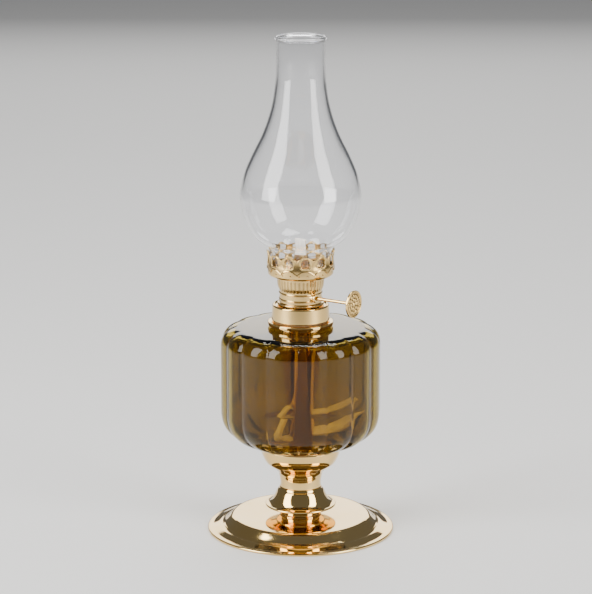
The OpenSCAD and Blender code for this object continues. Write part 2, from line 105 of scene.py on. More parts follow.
class LampSizes(bpy.types.PropertyGroup):
    """Sizes of the lamp's finer shapes, in millimetres."""
    foot_top: length("Foot top", 34.0, "Radius of the foot's flat top")
    foot_step: length("Foot step", 4.5, "Width of the step from flat top to flange")
    foot_sheet: length("Foot sheet", 0.9, "Thickness of the foot's spun sheet")
    stem_neck: length("Stem neck", 9.6, "Radius of the plain neck under the stem's ring")
    waist: length("Waist", 10.3, "Radius where the two stem pieces meet")
    rod: length("Rod", 2.0, "Radius of the tie rod")
    shoulder: length("Shoulder", 8.6, "Radius of the font's rounded shoulder")
    lobe: length("Lobe", 15.0, "Radius of each lobe's own arc")
    lobes: IntProperty(name="Lobes", description="Lobes around the font", default=16, min=8, max=32)
    lobe_turn: FloatProperty(name="Lobe turn", description="Turn of the first lobe's crest",
                             default=math.radians(-3.85), subtype="ANGLE")
    font_curve: length("Font curve", 10.5, "Height of the font's lower curve over the cup")
    font_wall: length("Font wall", 2.8, "Thickness of the font's glass")
    oil_level: length("Oil level", 67.0, "Height of the oil above the table")
    band: length("Band", 10.5, "Radius of the burner's narrow band")
    sheet: length("Burner sheet", 0.45, "Thickness of the burner's sheet")
    windows: IntProperty(name="Windows", description="Windows around the crown", default=12)
    first_window: FloatProperty(name="First window", description="Its turn about the lamp's axis",
                                default=math.radians(-18.5), subtype="ANGLE")
    prong: length("Prong", 4.0, "Width of a prong of the crown")
    chimney_wall: length("Chimney wall", 1.2, "Thickness of the chimney's glass")
    bulge: length("Bulge", 29.8, "Radius of the chimney's bulge")
    tube: length("Tube", 12.0, "Radius of the chimney's upper tube")
    wick_pitch: length("Wick pitch", 0.62, "Distance between the wick's crossing threads")


class LampFinish(bpy.types.PropertyGroup):
    """Colours of the lamp's materials."""
    brass: colour("Polished brass", (0.83, 0.56, 0.20), "Polished and lacquered brass")
    stamped: colour("Stamped brass", (0.76, 0.52, 0.20), "Pressed and pierced brass sheet")
    # Tarnish in the pits of the polished brass, and painted shade in the hollows of the stamped and
    # embossed brass.
    tarnish_and_shade: colour("Tarnish and painted shade", (0.34, 0.22, 0.08), "Brass where it has darkened")
    amber: colour("Amber glass", (0.30, 0.21, 0.03), "Light that the amber glass lets through")
    oil: colour("Oil", (0.95, 0.86, 0.55), "Light that the oil lets through")
    cotton: colour("Cotton", (0.90, 0.86, 0.78), "Dry cotton wick")
    soaked: colour("Soaked cotton", (0.95, 0.86, 0.60), "Cotton soaked in oil")
    floor: colour("Floor", (0.80, 0.79, 0.77), "Plain pale floor")


class LampStage(bpy.types.PropertyGroup):
    """Where the camera and the lights stand."""
    distance: FloatProperty(name="Distance", description="Level distance from lamp to camera",
                            default=1.3134, unit="LENGTH")
    camera_height: FloatProperty(name="Camera height", description="Height of the camera",
                                 default=0.4383, unit="LENGTH")
    azimuth: FloatProperty(name="Azimuth", description="Turn of the camera about the lamp",
                           default=math.radians(33.0), subtype="ANGLE")
    pitch: FloatProperty(name="Pitch", description="How far the camera looks down",
                         default=math.radians(13.645), subtype="ANGLE")
    yaw: FloatProperty(name="Yaw", description="How far the camera looks past the lamp",
                       default=math.radians(0.1008), subtype="ANGLE")
    lens: FloatProperty(name="Lens", description="Focal length for a 36 mm wide sensor, in mm",
                        default=165.35)


def sizes():
    return bpy.context.scene.lamp_sizes


def finish():
    return bpy.context.scene.lamp_finish


# ---------------------------------------------------------------- shader arithmetic

class Wire:
    """A shader socket that takes part in Python arithmetic."""

    def __init__(self, recipe, socket):
        self.recipe = recipe
        self.socket = socket

    def maths(self, operation, a, b):
        return self.recipe.add("ShaderNodeMath", {"operation": operation}, {0: a, 1: b})

    def __add__(self, other):
        return self.maths("ADD", self, other)

    def __sub__(self, other):
        return self.maths("SUBTRACT", self, other)

    def __rsub__(self, other):
        return self.maths("SUBTRACT", other, self)

    def __mul__(self, other):
        return self.maths("MULTIPLY", self, other)

    def __truediv__(self, other):
        return self.maths("DIVIDE", self, other)

    def __pow__(self, other):
        return self.maths("POWER", self, other)

    def __gt__(self, other):
        return self.maths("GREATER_THAN", self, other)

    __radd__ = __add__
    __rmul__ = __mul__

    def size(self):
        return self.maths("ABSOLUTE", self, 0.0)

    def between(self, start, end, low_value=0.0, high_value=1.0):
        """This value's place from start to end, as a smooth step from low_value to high_value."""
        return self.recipe.add("ShaderNodeMapRange", {"interpolation_type": "SMOOTHSTEP"},
                               {"Value": self, "From Min": start, "From Max": end,
                                "To Min": low_value, "To Max": high_value})


class Recipe:
    """A material while it is written: add() makes its nodes, and they meet in one main shader."""

    def __init__(self, name, **constants):
        self.material = bpy.data.materials.new(name)
        self.material.use_nodes = True
        self.tree = self.material.node_tree
        self.tree.nodes.clear()
        self.end = self.tree.nodes.new("ShaderNodeOutputMaterial")
        self.shader = self.tree.nodes.new("ShaderNodeBsdfPrincipled")
        self.tree.links.new(self.shader.outputs[0], self.end.inputs["Surface"])
        for socket, value in constants.items():
            self.set(socket.replace("_", " "), value)

    def add(self, kind, settings=None, sockets=None, output=0):
        """A node of that kind, its settings, what its sockets take, and a wire from one output."""
        node = self.tree.nodes.new(kind)
        for key, value in (settings or {}).items():
            if key == "stops":
                ramp = node.color_ramp.elements
                while len(ramp) < len(value):
                    ramp.new(0.5)
                for stop, (place, tone) in zip(ramp, value):
                    stop.position = place
                    stop.color = (*tone, 1.0)
            else:
                setattr(node, key, value)
        for key, value in (sockets or {}).items():
            self.put(node.inputs[key], value)
        return Wire(self, node.outputs[output])

    def put(self, socket, value):
        if isinstance(value, Wire):
            self.tree.links.new(value.socket, socket)
        elif socket.type == "RGBA":
            socket.default_value = (*value[:3], 1.0)
        else:
            socket.default_value = value

    def set(self, name, value):
        self.put(self.shader.inputs[name], value)

    def place(self):
        """Object coordinates, in millimetres, as one vector wire and its three parts."""
        raw = self.add("ShaderNodeTexCoord", output=3)
        scaled = self.add("ShaderNodeVectorMath", {"operation": "SCALE"}, {0: raw, "Scale": 1 / MM})
        split = self.tree.nodes.new("ShaderNodeSeparateXYZ")
        self.tree.links.new(scaled.socket, split.inputs[0])
        return scaled, [Wire(self, s) for s in split.outputs]

    def vector(self, x, y, z):
        return self.add("ShaderNodeCombineXYZ", None, {0: x, 1: y, 2: z})

    def noise(self, vector, scale, detail=3.0, roughness=0.55):
        return self.add("ShaderNodeTexNoise", None, {"Vector": vector, "Scale": scale,
                                                     "Detail": detail, "Roughness": roughness})

    def mix(self, share, a, b):
        """A colour between a and b."""
        node = self.tree.nodes.new("ShaderNodeMix")
        node.data_type = "RGBA"
        self.put(node.inputs["Factor"], share)
        self.put([s for s in node.inputs if s.name == "A" and s.type == "RGBA"][0], a)
        self.put([s for s in node.inputs if s.name == "B" and s.type == "RGBA"][0], b)
        return Wire(self, [s for s in node.outputs if s.type == "RGBA"][0])

    def mark(self, name):
        """A value stored on the mesh's points."""
        return self.add("ShaderNodeAttribute", {"attribute_name": name}, output=2)

    def bump(self, height, depth_mm, strength=1.0):
        self.set("Normal", self.add("ShaderNodeBump", None, {
            "Height": height, "Distance": depth_mm * MM, "Strength": strength}))

    def absorb(self, tone, density):
        """Lets light through a body of this colour, density per metre."""
        node = self.tree.nodes.new("ShaderNodeVolumeAbsorption")
        node.inputs["Color"].default_value = (*tone, 1.0)
        node.inputs["Density"].default_value = density
        self.tree.links.new(node.outputs[0], self.end.inputs["Volume"])


    def pass_light(self, tone=(1.0, 1.0, 1.0)):
        """Lets the lights reach what stands behind this glass."""
        path = self.tree.nodes.new("ShaderNodeLightPath")
        clear = self.tree.nodes.new("ShaderNodeBsdfTransparent")
        clear.inputs["Color"].default_value = (*tone, 1.0)
        choice = self.tree.nodes.new("ShaderNodeMixShader")
        self.tree.links.new(path.outputs["Is Shadow Ray"], choice.inputs[0])
        self.tree.links.new(self.shader.outputs[0], choice.inputs[1])
        self.tree.links.new(clear.outputs[0], choice.inputs[2])
        self.tree.links.new(choice.outputs[0], self.end.inputs["Surface"])


MADE = {}


def material(maker):
    """The material that a maker writes, written once."""
    if maker.__name__ not in MADE:
        MADE[maker.__name__] = maker().material
    return MADE[maker.__name__]


def darker(tone, share):
    return tuple(c * share for c in tone)


def spun_marks(r, x, y, z):
    """Fine rings left by the lathe, as a height that depends only on radius and height."""
    radius = (x * x + y * y) ** 0.5
    return r.noise(r.vector(radius * 5.0, z * 5.0, 0.0), 1.0, 2.0)


def polished_brass():
    """Turned brass, buffed and lacquered, with faint lathe rings and handling marks."""
    r = Recipe("PolishedBrass", Metallic=1.0, Coat_IOR=1.5, Coat_Roughness=0.05)
    place, (x, y, z) = r.place()
    smudge = r.noise(place, 0.09, 4.0, 0.6).between(0.45, 0.75)
    tone = r.noise(place, 0.035, 2.0).between(0.3, 0.7)
    pits = r.noise(place, 2.4, 2.0).between(0.70, 0.78)
    warm = r.mix(tone, finish().brass, (0.86, 0.61, 0.25))
    r.set("Base Color", r.mix(pits * 0.5, warm, finish().tarnish_and_shade))
    r.set("Roughness", 0.055 + smudge * 0.075 + pits * 0.2)
    r.set("Coat Weight", 0.14 - smudge * 0.1)
    r.bump(spun_marks(r, x, y, z) + smudge * 0.3, 0.004, 0.5)
    return r


def stamped_brass():
    """Thin pressed brass, a little toned, darker in its recesses."""
    r = Recipe("StampedBrass", Metallic=1.0)
    place, (x, y, z) = r.place()
    grain = r.noise(place, 3.2, 4.0, 0.65)
    patch = r.noise(place, 0.22, 3.0).between(0.42, 0.70)
    # Painted shade: this mark darkens the colour in the hollows of the flutes and the crown, and on
    # the crown's inner face.
    depth = r.mark("recess")
    bright = r.mix(patch * 0.45, finish().stamped, (0.66, 0.47, 0.22))
    r.set("Base Color", r.mix(depth.between(0.0, 1.0, 0.0, 0.75), bright, finish().tarnish_and_shade))
    r.set("Roughness", 0.16 + patch * 0.10 + depth * 0.18)
    r.bump(grain + spun_marks(r, x, y, z), 0.010, 0.45)
    return r


def embossed_brass():
    """The knob's pressed relief: bright where fingers rub it, dark in its ground."""
    r = Recipe("EmbossedBrass", Metallic=1.0)
    place, _ = r.place()
    grain = r.noise(place, 4.0, 4.0, 0.6)
    # Painted shade: this mark darkens the ground of the relief.
    depth = r.mark("recess")
    r.set("Base Color", r.mix(depth.between(0.15, 1.0, 0.0, 0.85), finish().brass, finish().tarnish_and_shade))
    r.set("Roughness", 0.14 + depth * 0.22)
    r.bump(grain, 0.010, 0.35)
    return r


def plated_steel():
    """Zinc-plated steel of the rod, nuts and washer."""
    r = Recipe("PlatedSteel", Metallic=1.0)
    place, _ = r.place()
    bloom = r.noise(place, 0.6, 4.0).between(0.4, 0.7)
    r.set("Base Color", r.mix(bloom, (0.62, 0.62, 0.64), (0.46, 0.47, 0.50)))
    r.set("Roughness", 0.28 + bloom * 0.18)
    r.bump(r.noise(place, 3.0, 3.0), 0.01, 0.4)
    return r


def clear_glass():
    """Blown clear glass with faint waves."""
    r = Recipe("ClearGlass", Base_Color=(0.985, 0.988, 1.0), Transmission_Weight=1.0, IOR=1.5)
    place, (x, y, z) = r.place()
    haze = r.noise(place, 0.08, 3.0).between(0.5, 0.8)
    r.set("Roughness", haze * 0.012)
    r.bump(r.noise(r.vector(x * 0.5, y * 0.5, z), 0.05, 2.0), 0.25, 0.18)
    r.absorb((0.80, 0.86, 0.96), 6.0)
    r.pass_light((0.93, 0.93, 0.95))
    return r


def amber_glass():
    """Smoky amber glass with the soft waves of a mould."""
    r = Recipe("AmberGlass", Base_Color=finish().amber, Transmission_Weight=1.0, IOR=1.36,
               Specular_IOR_Level=0.38)
    place, (x, y, z) = r.place()
    haze = r.noise(place, 0.06, 3.0).between(0.5, 0.8)
    r.set("Roughness", haze * 0.02)
    r.bump(r.noise(r.vector(x, y, z * 0.4), 0.10, 3.0), 0.16, 0.22)
    r.pass_light()
    return r


def lamp_oil():
    """Clear golden oil."""
    r = Recipe("LampOil", Base_Color=finish().oil, Transmission_Weight=1.0, IOR=1.12)
    place, _ = r.place()
    r.set("Roughness", r.noise(place, 0.1, 2.0) * 0.004)
    r.pass_light()
    return r


def cotton_weave(name, tone, dark):
    """A woven flat wick: cords along it, threads across, and a little fluff."""
    r = Recipe(name, Sheen_Weight=0.35, Sheen_Roughness=0.5, Specular_IOR_Level=0.25)
    place, _ = r.place()
    thread = r.mark("thread")
    fluff = r.noise(place, 4.0, 5.0, 0.7)
    patch = r.noise(place, 0.35, 3.0)
    # Painted shade: the colour darkens towards the dark tone in the gaps between the threads of the
    # weave.
    shade = thread.between(-1.0, 0.7) * (0.75 + fluff * 0.5)
    yellowed = r.mix(patch.between(0.4, 0.75, 0.0, 0.4), tone, darker(tone, 0.86))
    r.set("Base Color", r.mix(1.0 - shade * 0.8, yellowed, dark))
    r.set("Roughness", 0.88 + fluff * 0.1)
    r.bump(fluff, 0.12, 0.6)
    return r


def dry_cotton():
    return cotton_weave("DryCotton", finish().cotton, (0.62, 0.56, 0.47))


def soaked_cotton():
    return cotton_weave("SoakedCotton", finish().soaked, (0.66, 0.50, 0.22))


def lamp_cement():
    """Set plaster with small voids."""
    r = Recipe("LampCement")
    place, _ = r.place()
    grain = r.noise(place, 1.6, 5.0, 0.7)
    r.set("Base Color", r.mix(grain, (0.62, 0.58, 0.50), (0.86, 0.83, 0.77)))
    r.set("Roughness", 0.85 + grain * 0.1)
    r.bump(grain, 0.2, 0.7)
    return r


def cork():
    """Fine pressed cork, light granules with dark seams."""
    r = Recipe("Cork")
    place, _ = r.place()
    cell = r.add("ShaderNodeTexVoronoi", {"feature": "DISTANCE_TO_EDGE"},
                 {"Vector": place, "Scale": 1.1})
    tint = r.noise(place, 0.9, 3.0)
    granule = r.mix(tint, (0.46, 0.31, 0.18), (0.66, 0.48, 0.30))
    r.set("Base Color", r.mix(cell.between(0.0, 0.12), (0.16, 0.09, 0.05), granule))
    r.set("Roughness", 0.9 - tint * 0.1)
    r.bump(cell, 0.08, 0.8)
    return r


def pale_floor():
    """A plain pale floor."""
    r = Recipe("PaleFloor", Specular_IOR_Level=0.3)
    place, _ = r.place()
    speck = r.noise(place, 0.02, 3.0)
    r.set("Base Color", r.mix(speck * 0.3, finish().floor, darker(finish().floor, 0.97)))
    r.set("Roughness", 0.55 + speck * 0.1)
    return r


# ---------------------------------------------------------------- outlines, in millimetres

def spline(points, steps=8):
    """A smooth run of points through the given ones."""
    run = []
    for i in range(len(points) - 1):
        a, b, c, d = (np.array(points[min(max(k, 0), len(points) - 1)], float)
                      for k in (i - 1, i, i + 1, i + 2))
        for k in range(steps):
            t = k / steps
            run.append(tuple(0.5 * (2 * b + (c - a) * t + (2 * a - 5 * b + 4 * c - d) * t * t
                                    + (3 * b - a - 3 * c + d) * t ** 3)))
    return run + [tuple(points[-1])]


def offset(run, distance):
    """A run of points moved to its left by a distance."""
    p = np.array(run, float)
    d = np.gradient(p, axis=0)
    d /= np.linalg.norm(d, axis=1)[:, None] + 1e-12
    return [tuple(q) for q in p + distance * np.stack([-d[:, 1], d[:, 0]], 1)]


def rounded(corners, steps=7):
    """A closed outline from (radius, height, fillet) corners. Corners with no fillet stay sharp."""
    outline = []
    count = len(corners)
    for i, corner in enumerate(corners):
        point = np.array(corner[:2], float)
        fillet = corner[2] if len(corner) > 2 else 0.0
        if fillet <= 0:
            outline.append(tuple(point))
            continue
        before = np.array(corners[i - 1][:2], float) - point
        after = np.array(corners[(i + 1) % count][:2], float) - point
        lb, la = np.linalg.norm(before), np.linalg.norm(after)
        before, after = before / lb, after / la
        half = math.acos(max(-1.0, min(1.0, float(before @ after)))) / 2
        back = min(fillet / math.tan(half), 0.48 * lb, 0.48 * la)
        radius = back * math.tan(half)
        bisector = before + after
        centre = point + bisector / np.linalg.norm(bisector) * radius / math.sin(half)
        start, end = point + before * back - centre, point + after * back - centre
        a0, a1 = math.atan2(start[1], start[0]), math.atan2(end[1], end[0])
        turn = (a1 - a0 + math.pi) % TAU - math.pi
        for k in range(steps + 1):
            a = a0 + turn * k / steps
            outline.append((centre[0] + radius * math.cos(a), centre[1] + radius * math.sin(a)))
    return outline


def held(outline, gap=0.12):
    """The outline with a point close to each end of its long straight stretches."""
    kept = []
    count = len(outline)
    for i in range(count):
        a, b = np.array(outline[i], float), np.array(outline[(i + 1) % count], float)
        kept.append(tuple(a))
        span = float(np.linalg.norm(b - a))
        if span > 5 * gap and not (a[0] < 1e-6 and b[0] < 1e-6):
            step = (b - a) / span * gap
            kept += [tuple(a + step), tuple(b - step)]
    return kept


# ---------------------------------------------------------------- meshes

def new_piece(name, points, faces, maker, body, slot, *nodes, marks=None):
    """A smooth mesh piece that rides on a body and stands for CAD nodes. Points are in mm."""
    mesh = bpy.data.meshes.new(name)
    mesh.from_pydata([tuple(p) for p in np.asarray(points, float) * MM], [], faces)
    mesh.validate()
    mesh.shade_smooth()
    for mark, values in (marks or {}).items():
        mesh.attributes.new(mark, "FLOAT", "POINT").data.foreach_set(
            "value", np.asarray(values, np.float32))
    mesh.materials.append(material(maker))
    piece = bpy.data.objects.new(name, mesh)
    bpy.context.scene.collection.objects.link(piece)
    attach(piece, body)
    if nodes:
        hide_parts(*nodes)
    return piece


def turned(outline, segments=160):
    """Points and faces of a closed outline turned about the lamp's axis."""
    points, faces, rings = [], [], []
    angles = [TAU * k / segments for k in range(segments)]
    for r, z in outline:
        if r < 1e-6:
            rings.append([len(points)] * segments)
            points.append((0.0, 0.0, z))
        else:
            rings.append(list(range(len(points), len(points) + segments)))
            points += [(r * math.cos(a), r * math.sin(a), z) for a in angles]
    for i, ring in enumerate(rings):
        above = rings[(i + 1) % len(rings)]
        for k in range(segments):
            n = (k + 1) % segments
            corners = [ring[k], ring[n], above[n], above[k]]
            face = list(dict.fromkeys(corners))
            if len(face) > 2:
                faces.append(face)
    return points, faces


def turned_piece(name, outline, maker, body, slot, *nodes, segments=160, marks=None):
    """A turned piece whose outline runs anticlockwise, seen with the axis on its left."""
    points, faces = turned(held(outline), segments)
    return new_piece(name, points, faces, maker, body, slot, *nodes, marks=marks)


def along_shaft(outline, segments=64):
    """Points and faces of an outline of (X, radius) pairs turned about the winder's shaft."""
    axis = joint_place("knob_turn")
    points, faces = turned([(r, x) for x, r in outline], segments)
    moved = [(p[2], axis.y + p[0], axis.z + p[1]) for p in points]
    return moved, faces


# ---------------------------------------------------------------- foot and stem

def build_foot():
    """Spun brass foot with a rolled edge, a sloping flange and a raised flat top."""
    s = sizes()
    edge, top = reach("foot_disc"), high("foot_disc")
    step = s.foot_top + s.foot_step
    step_z = top * 0.42
    t = s.foot_sheet
    outline = [(s.rod, top - t)] + [(s.foot_top - 0.8, top - t), (step - 0.4, step_z - t)]
    outline += [(edge - 1.9, 0.55), (edge - 1.9, 0.12), (edge - 1.75, 0.0)]
    outline += rounded([(edge - 1.75, 0.0), (edge, 0.0, 0.35), (edge, 1.2, 0.6),
                        (edge - 1.7, 1.36, 0.5), (edge - 4, 1.56)])[1:-1]
    flange_run = spline([(edge - 2.6, 1.46), (step + 2.5, step_z - 0.62),
                         (step + 0.9, step_z - 0.30),
                         (step + 0.1, step_z + 0.10), (step - 0.8, step_z + 0.72),
                         (s.foot_top + 1.6, top - 1.35), (s.foot_top + 0.7, top - 0.52),
                         (s.foot_top - 0.4, top - 0.06), (s.foot_top - 2.2, top)], 7)
    outline += flange_run + [(s.rod, top)]
    turned_piece("FootDisc", outline, polished_brass, "base", "polished_brass", "foot_disc",
                 segments=224)


def build_stem():
    """The stem's two turned pieces: a bell on a ring and a neck that flares to the cup."""
    s = sizes()
    z0, z1, z2 = low("stem_lower"), high("stem_lower"), high("stem_upper")
    ring, cup = reach("stem_lower"), reach("stem_upper")
    ring_z = z0 + 4.9
    lower = rounded([(s.rod, z0), (s.stem_neck + 0.9, z0, 0.2),
                     (s.stem_neck + 0.9, z0 + 0.55, 0.25),
                     (s.stem_neck, z0 + 0.9, 0.3), (s.stem_neck, z0 + 2.9, 0.3),
                     (s.stem_neck + 2.5, z0 + 3.0, 0.35), (s.stem_neck + 2.5, z0 + 3.8, 0.35),
                     (ring - 2.6, ring_z - 0.3, 0.3), (ring - 0.9, ring_z - 0.05, 0.3),
                     (ring, ring_z + 0.1, 0.4), (ring, ring_z + 1.0, 0.45),
                     (ring - 1.0, ring_z + 1.05, 0.2), (ring - 1.5, ring_z + 1.15)])[:-1]
    lower += spline([(ring - 1.4, ring_z + 1.12), (ring - 2.1, ring_z + 1.4),
                     (ring - 3.4, ring_z + 2.7),
                     (ring - 4.5, ring_z + 4.6), (s.waist + 1.4, z1 - 2.1),
                     (s.waist + 0.6, z1 - 1.1),
                     (s.waist + 0.2, z1 - 0.3), (s.waist - 0.05, z1 - 0.02)], 8)
    lower.append((s.rod, z1 - 0.02))
    turned_piece("StemLower", lower, polished_brass, "base", "polished_brass", "stem_lower",
                 segments=192)
    upper = [(s.rod, z1 + 0.02)]
    upper += spline([(s.waist - 0.25, z1 + 0.02), (s.waist - 0.02, z1 + 0.35),
                     (s.waist - 0.1, z1 + 1.9), (s.waist + 0.1, z1 + 3.9),
                     (s.waist + 0.5, z1 + 5.9),
                     (cup - 1.7, z2 - 1.8), (cup - 0.8, z2 - 0.6), (cup, z2 - 0.05)], 8)
    upper.append((s.rod, z2 - 0.02))
    turned_piece("StemUpper", upper, polished_brass, "base", "polished_brass", "stem_upper",
                 segments=192)


def build_cup():
    """The cup that the glass is cemented into, with a rolled rim."""
    s = sizes()
    z0, z1 = low("font_cup"), high("font_cup")
    rim = reach("font_cup")
    floor_r = reach("stem_upper")
    wall = spline([(floor_r + 0.1, z0 + 0.1), (rim - 6.2, z0 + 1), (rim - 4.3, z0 + 2.3),
                   (rim - 3.1, z0 + 3.4), (rim - 2.1, z0 + 5), (rim - 1.2, z0 + 7),
                   (rim - 0.6, z0 + 8.9), (rim - 0.2, z1 - 1.0), (rim - 0.02, z1 - 0.35)], 7)
    outline = [(s.rod, z0), (floor_r - 0.1, z0)] + wall
    outline += [(rim - 0.12, z1 - 0.08), (rim - 0.4, z1), (rim - 0.75, z1 - 0.12)]
    outline += offset(wall, 0.9)[::-1][2:-2] + [(floor_r - 0.8, z0 + 0.9), (s.rod, z0 + 0.9)]
    turned_piece("FontCup", outline, polished_brass, "base", "polished_brass", "font_cup",
                 segments=192)


def build_fastenings():
    """The rod, nuts and washer that hold foot, stem and cup together, and the cement in the cup."""
    for node, maker in (("tie_nut", plated_steel), ("tie_washer", plated_steel),
                        ("cup_nut", plated_steel), ("cup_cement", lamp_cement),
                        ("collar_cement", lamp_cement)):
        dress(node, maker)
    s = sizes()
    z0, z1 = low("tie_rod"), high("tie_rod")
    pitch, depth, threaded = 0.8, 0.32, 6.0
    outline = [(0.0, z0), (s.rod - 0.5, z0), (s.rod - 0.3, z0 + 0.2)]
    for start in (z0 + 0.4, z1 - threaded - 0.4):
        for k in range(int(threaded / pitch)):
            z = start + k * pitch
            outline += [(s.rod - depth, z), (s.rod - 0.02, z + pitch * 0.42),
                        (s.rod - 0.02, z + pitch * 0.58)]
    outline += [(s.rod - 0.3, z1 - 0.2), (s.rod - 0.5, z1), (0.0, z1)]
    turned_piece("TieRod", outline, plated_steel, "base", "plated_steel", "tie_rod", segments=48)


def dress(node, maker):
    """Gives a CAD node that keeps its shape a material of its own."""
    mesh = frame["nodes"][node].data
    mesh.materials.clear()
    mesh.materials.append(material(maker))


# ---------------------------------------------------------------- glass font and oil

def font_outer():
    """Outer line of the glass from the peg in the cup, over wall and shoulder, to the neck."""
    s = sizes()
    rim_z, cup, r = high("font_cup"), reach("font_cup"), reach("font")
    top = high("font") - 1.4
    curve_z = rim_z + s.font_curve
    neck = reach("collar_gasket") - 1.2
    under = spline([(cup + 0.3, rim_z + 0.4), (cup + 1.2, rim_z + 0.6), (r - 13.8, rim_z + 2.1),
                    (r - 9.2, rim_z + 4.1), (r - 5.4, rim_z + 6.8), (r - 2.4, curve_z - 0.3),
                    (r - 0.7, curve_z + 3.5), (r, curve_z + 7.5)], 8)
    straight = curve_z + 7.5
    wall = [(r, straight + (top - s.shoulder - straight) * k / 14) for k in range(1, 14)]
    bend = [(r - s.shoulder + s.shoulder * math.cos(a), top - s.shoulder + s.shoulder * math.sin(a))
            for a in (math.pi / 2 * k / 18 for k in range(19))]
    plate = spline([(r - s.shoulder - 0.6, top + 0.01), (r - s.shoulder - 5, top + 0.1),
                    (neck + 6, top + 0.25), (neck + 1.6, top + 0.3), (neck + 0.5, top + 0.3)], 6)
    return under, wall, bend, plate, neck, top


def lobe_depth(angle, from_mm, s):
    """How far the lobed outside lies inside the crests at an angle about the axis."""
    half = math.pi / s.lobes
    centre = from_mm - s.lobe
    phi = (angle - s.lobe_turn + half) % (2 * half) - half
    return from_mm - (centre * math.cos(phi)
                      + math.sqrt(s.lobe ** 2 - (centre * math.sin(phi)) ** 2))


def smooth(x, a, b):
    t = min(1.0, max(0.0, (x - a) / (b - a)))
    return t * t * (3 - 2 * t)


def build_font():
    """The font: convex lobes outside that fade at shoulder and curve, shallower ones inside."""
    s = sizes()
    under, wall, bend, plate, neck, top = font_outer()
    r = reach("font")
    rim_z = high("font_cup")
    peg = reach("font_cup") - 6.4
    cup = reach("font_cup")
    outer = [(0.0, rim_z - 4.5), (peg - 0.3, rim_z - 4.5), (peg + 0.4, rim_z - 4.1),
             (peg + 1.0, rim_z - 3.3), (cup - 2.7, rim_z - 1.2), (cup - 1.4, rim_z + 0.12),
             (cup - 0.8, rim_z + 0.25)]
    lobed_from = len(outer)
    outer += under + wall + bend + plate
    lobed_to = len(outer)
    hole = neck - 1.0
    outer += [(neck + 0.05, top + 0.6), (neck, top + 1.2), (neck - 0.2, top + 1.4),
              (hole + 0.2, top + 1.4), (hole, top + 1.2)]
    inside_r = r - lobe_depth(math.pi / s.lobes * 1.32, r, s) - s.font_wall
    inner = font_inner(inside_r, top - s.font_wall, hole)
    outline = outer + inner[::-1]
    columns = s.lobes * 26
    angles = [TAU * k / columns for k in range(columns)]
    depths = [lobe_depth(a, r, s) for a in angles]
    points, faces = turned(outline, columns)
    points = np.array(points, float)
    start = 0
    for i, (radius, z) in enumerate(outline):
        count = 1 if radius < 1e-6 else columns
        if lobed_from <= i < lobed_to:
            over = smooth(radius, r - 15.5, r - 6.5)
            if z > top - s.shoulder:
                over = smooth(radius, r - s.shoulder - 5.0, r - s.shoulder + 1.8)
            ring = np.arange(start, start + count)
            scale = 1 - np.array(depths) * over / radius
            points[ring, 0] *= scale
            points[ring, 1] *= scale
        elif i >= len(outer) and radius > inside_r * 0.8:
            ring = np.arange(start, start + count)
            scale = 1 - 0.9 * (np.array(depths) - 0.6) / radius
            points[ring, 0] *= scale
            points[ring, 1] *= scale
        start += count
    new_piece("Font", points, faces, amber_glass, "base", "amber_glass", "font")


def font_inner(inside_r, roof, hole):
    """Inner line of the glass, from its floor to its neck."""
    s = sizes()
    floor = high("font_cup") + 3.5
    rounding = s.shoulder - s.font_wall
    cup = reach("font_cup")
    line = [(0.0, floor), (cup * 0.5, floor + 0.02), (cup + 1.5, floor + 0.06)]
    line += spline([(cup + 3, floor + 0.12), (cup + 4.6, floor + 0.4), (inside_r - 5, floor + 3.5),
                    (inside_r - 1.3, floor + 8.3), (inside_r - 0.1, floor + 13),
                    (inside_r, floor + 16)], 8)
    line += [(inside_r, floor + 16 + (roof - rounding - floor - 16) * k / 10) for k in range(1, 10)]
    line += [(inside_r - rounding + rounding * math.cos(a),
              roof - rounding + rounding * math.sin(a))
             for a in (math.pi / 2 * k / 12 for k in range(13))]
    line += [(inside_r - rounding - 4, roof), (hole + 3, roof), (hole + 0.8, roof),
             (hole, roof + 0.7)]
    return line


def build_oil():
    """The oil in the font, with a small rise where it meets the glass."""
    s = sizes()
    r = reach("font")
    inside_r = r - lobe_depth(math.pi / s.lobes * 1.32, r, s) - s.font_wall
    line = font_inner(inside_r, high("font") - 1.4 - s.font_wall, 11.4)
    swell = 0.16
    wet = [(radius + swell if radius > 1e-6 else 0.0, z - swell) for radius, z in line
           if z < s.oil_level - 1.4]
    edge = inside_r + swell
    wet += [(edge, s.oil_level + 0.5), (edge - 0.5, s.oil_level + 0.28),
            (edge - 1.4, s.oil_level + 0.06),
            (edge - 3.0, s.oil_level), (edge * 0.5, s.oil_level), (0.0, s.oil_level)]
    turned_piece("LampOil", wet, lamp_oil, "base", "amber_glass", segments=160)


# ---------------------------------------------------------------- collar, gasket and burner

def build_collar():
    """The threaded collar with its rolled flange, and the cork gasket on it."""
    z1 = high("font_collar")
    glass = low("collar_cement")
    rim = reach("font_collar")
    sleeve_z = low("font_collar")
    skirt = rim - 2.6
    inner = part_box("collar_cement")[1].x / MM
    in_r = 10.5
    t = 0.7
    outline = rounded([(in_r, sleeve_z, 0.15), (in_r + t, sleeve_z, 0.15), (in_r + t, z1 - t, 0.1),
                       (inner, z1 - t, 0.1), (inner, glass, 0.1), (skirt + 0.25, glass, 0.15),
                       (skirt, glass + 0.4, 0.2), (skirt, z1 - 2.15, 0.2),
                       (rim - 0.9, z1 - 2.1, 0.5),
                       (rim, z1 - 1.95, 0.95), (rim, z1 - 0.1, 0.95), (rim - 0.9, z1, 0.5),
                       (in_r, z1, 0.2)])
    turned_piece("FontCollar", outline, polished_brass, "base", "polished_brass", "font_collar")
    z0, z1 = low("collar_gasket"), high("collar_gasket")
    edge = reach("collar_gasket")
    gasket = rounded([(in_r, z0, 0.08), (edge, z0, 0.15), (edge, z1, 0.15), (in_r, z1, 0.08)], 4)
    turned_piece("CollarGasket", gasket, cork, "gasket_ring", "cork", "collar_gasket")


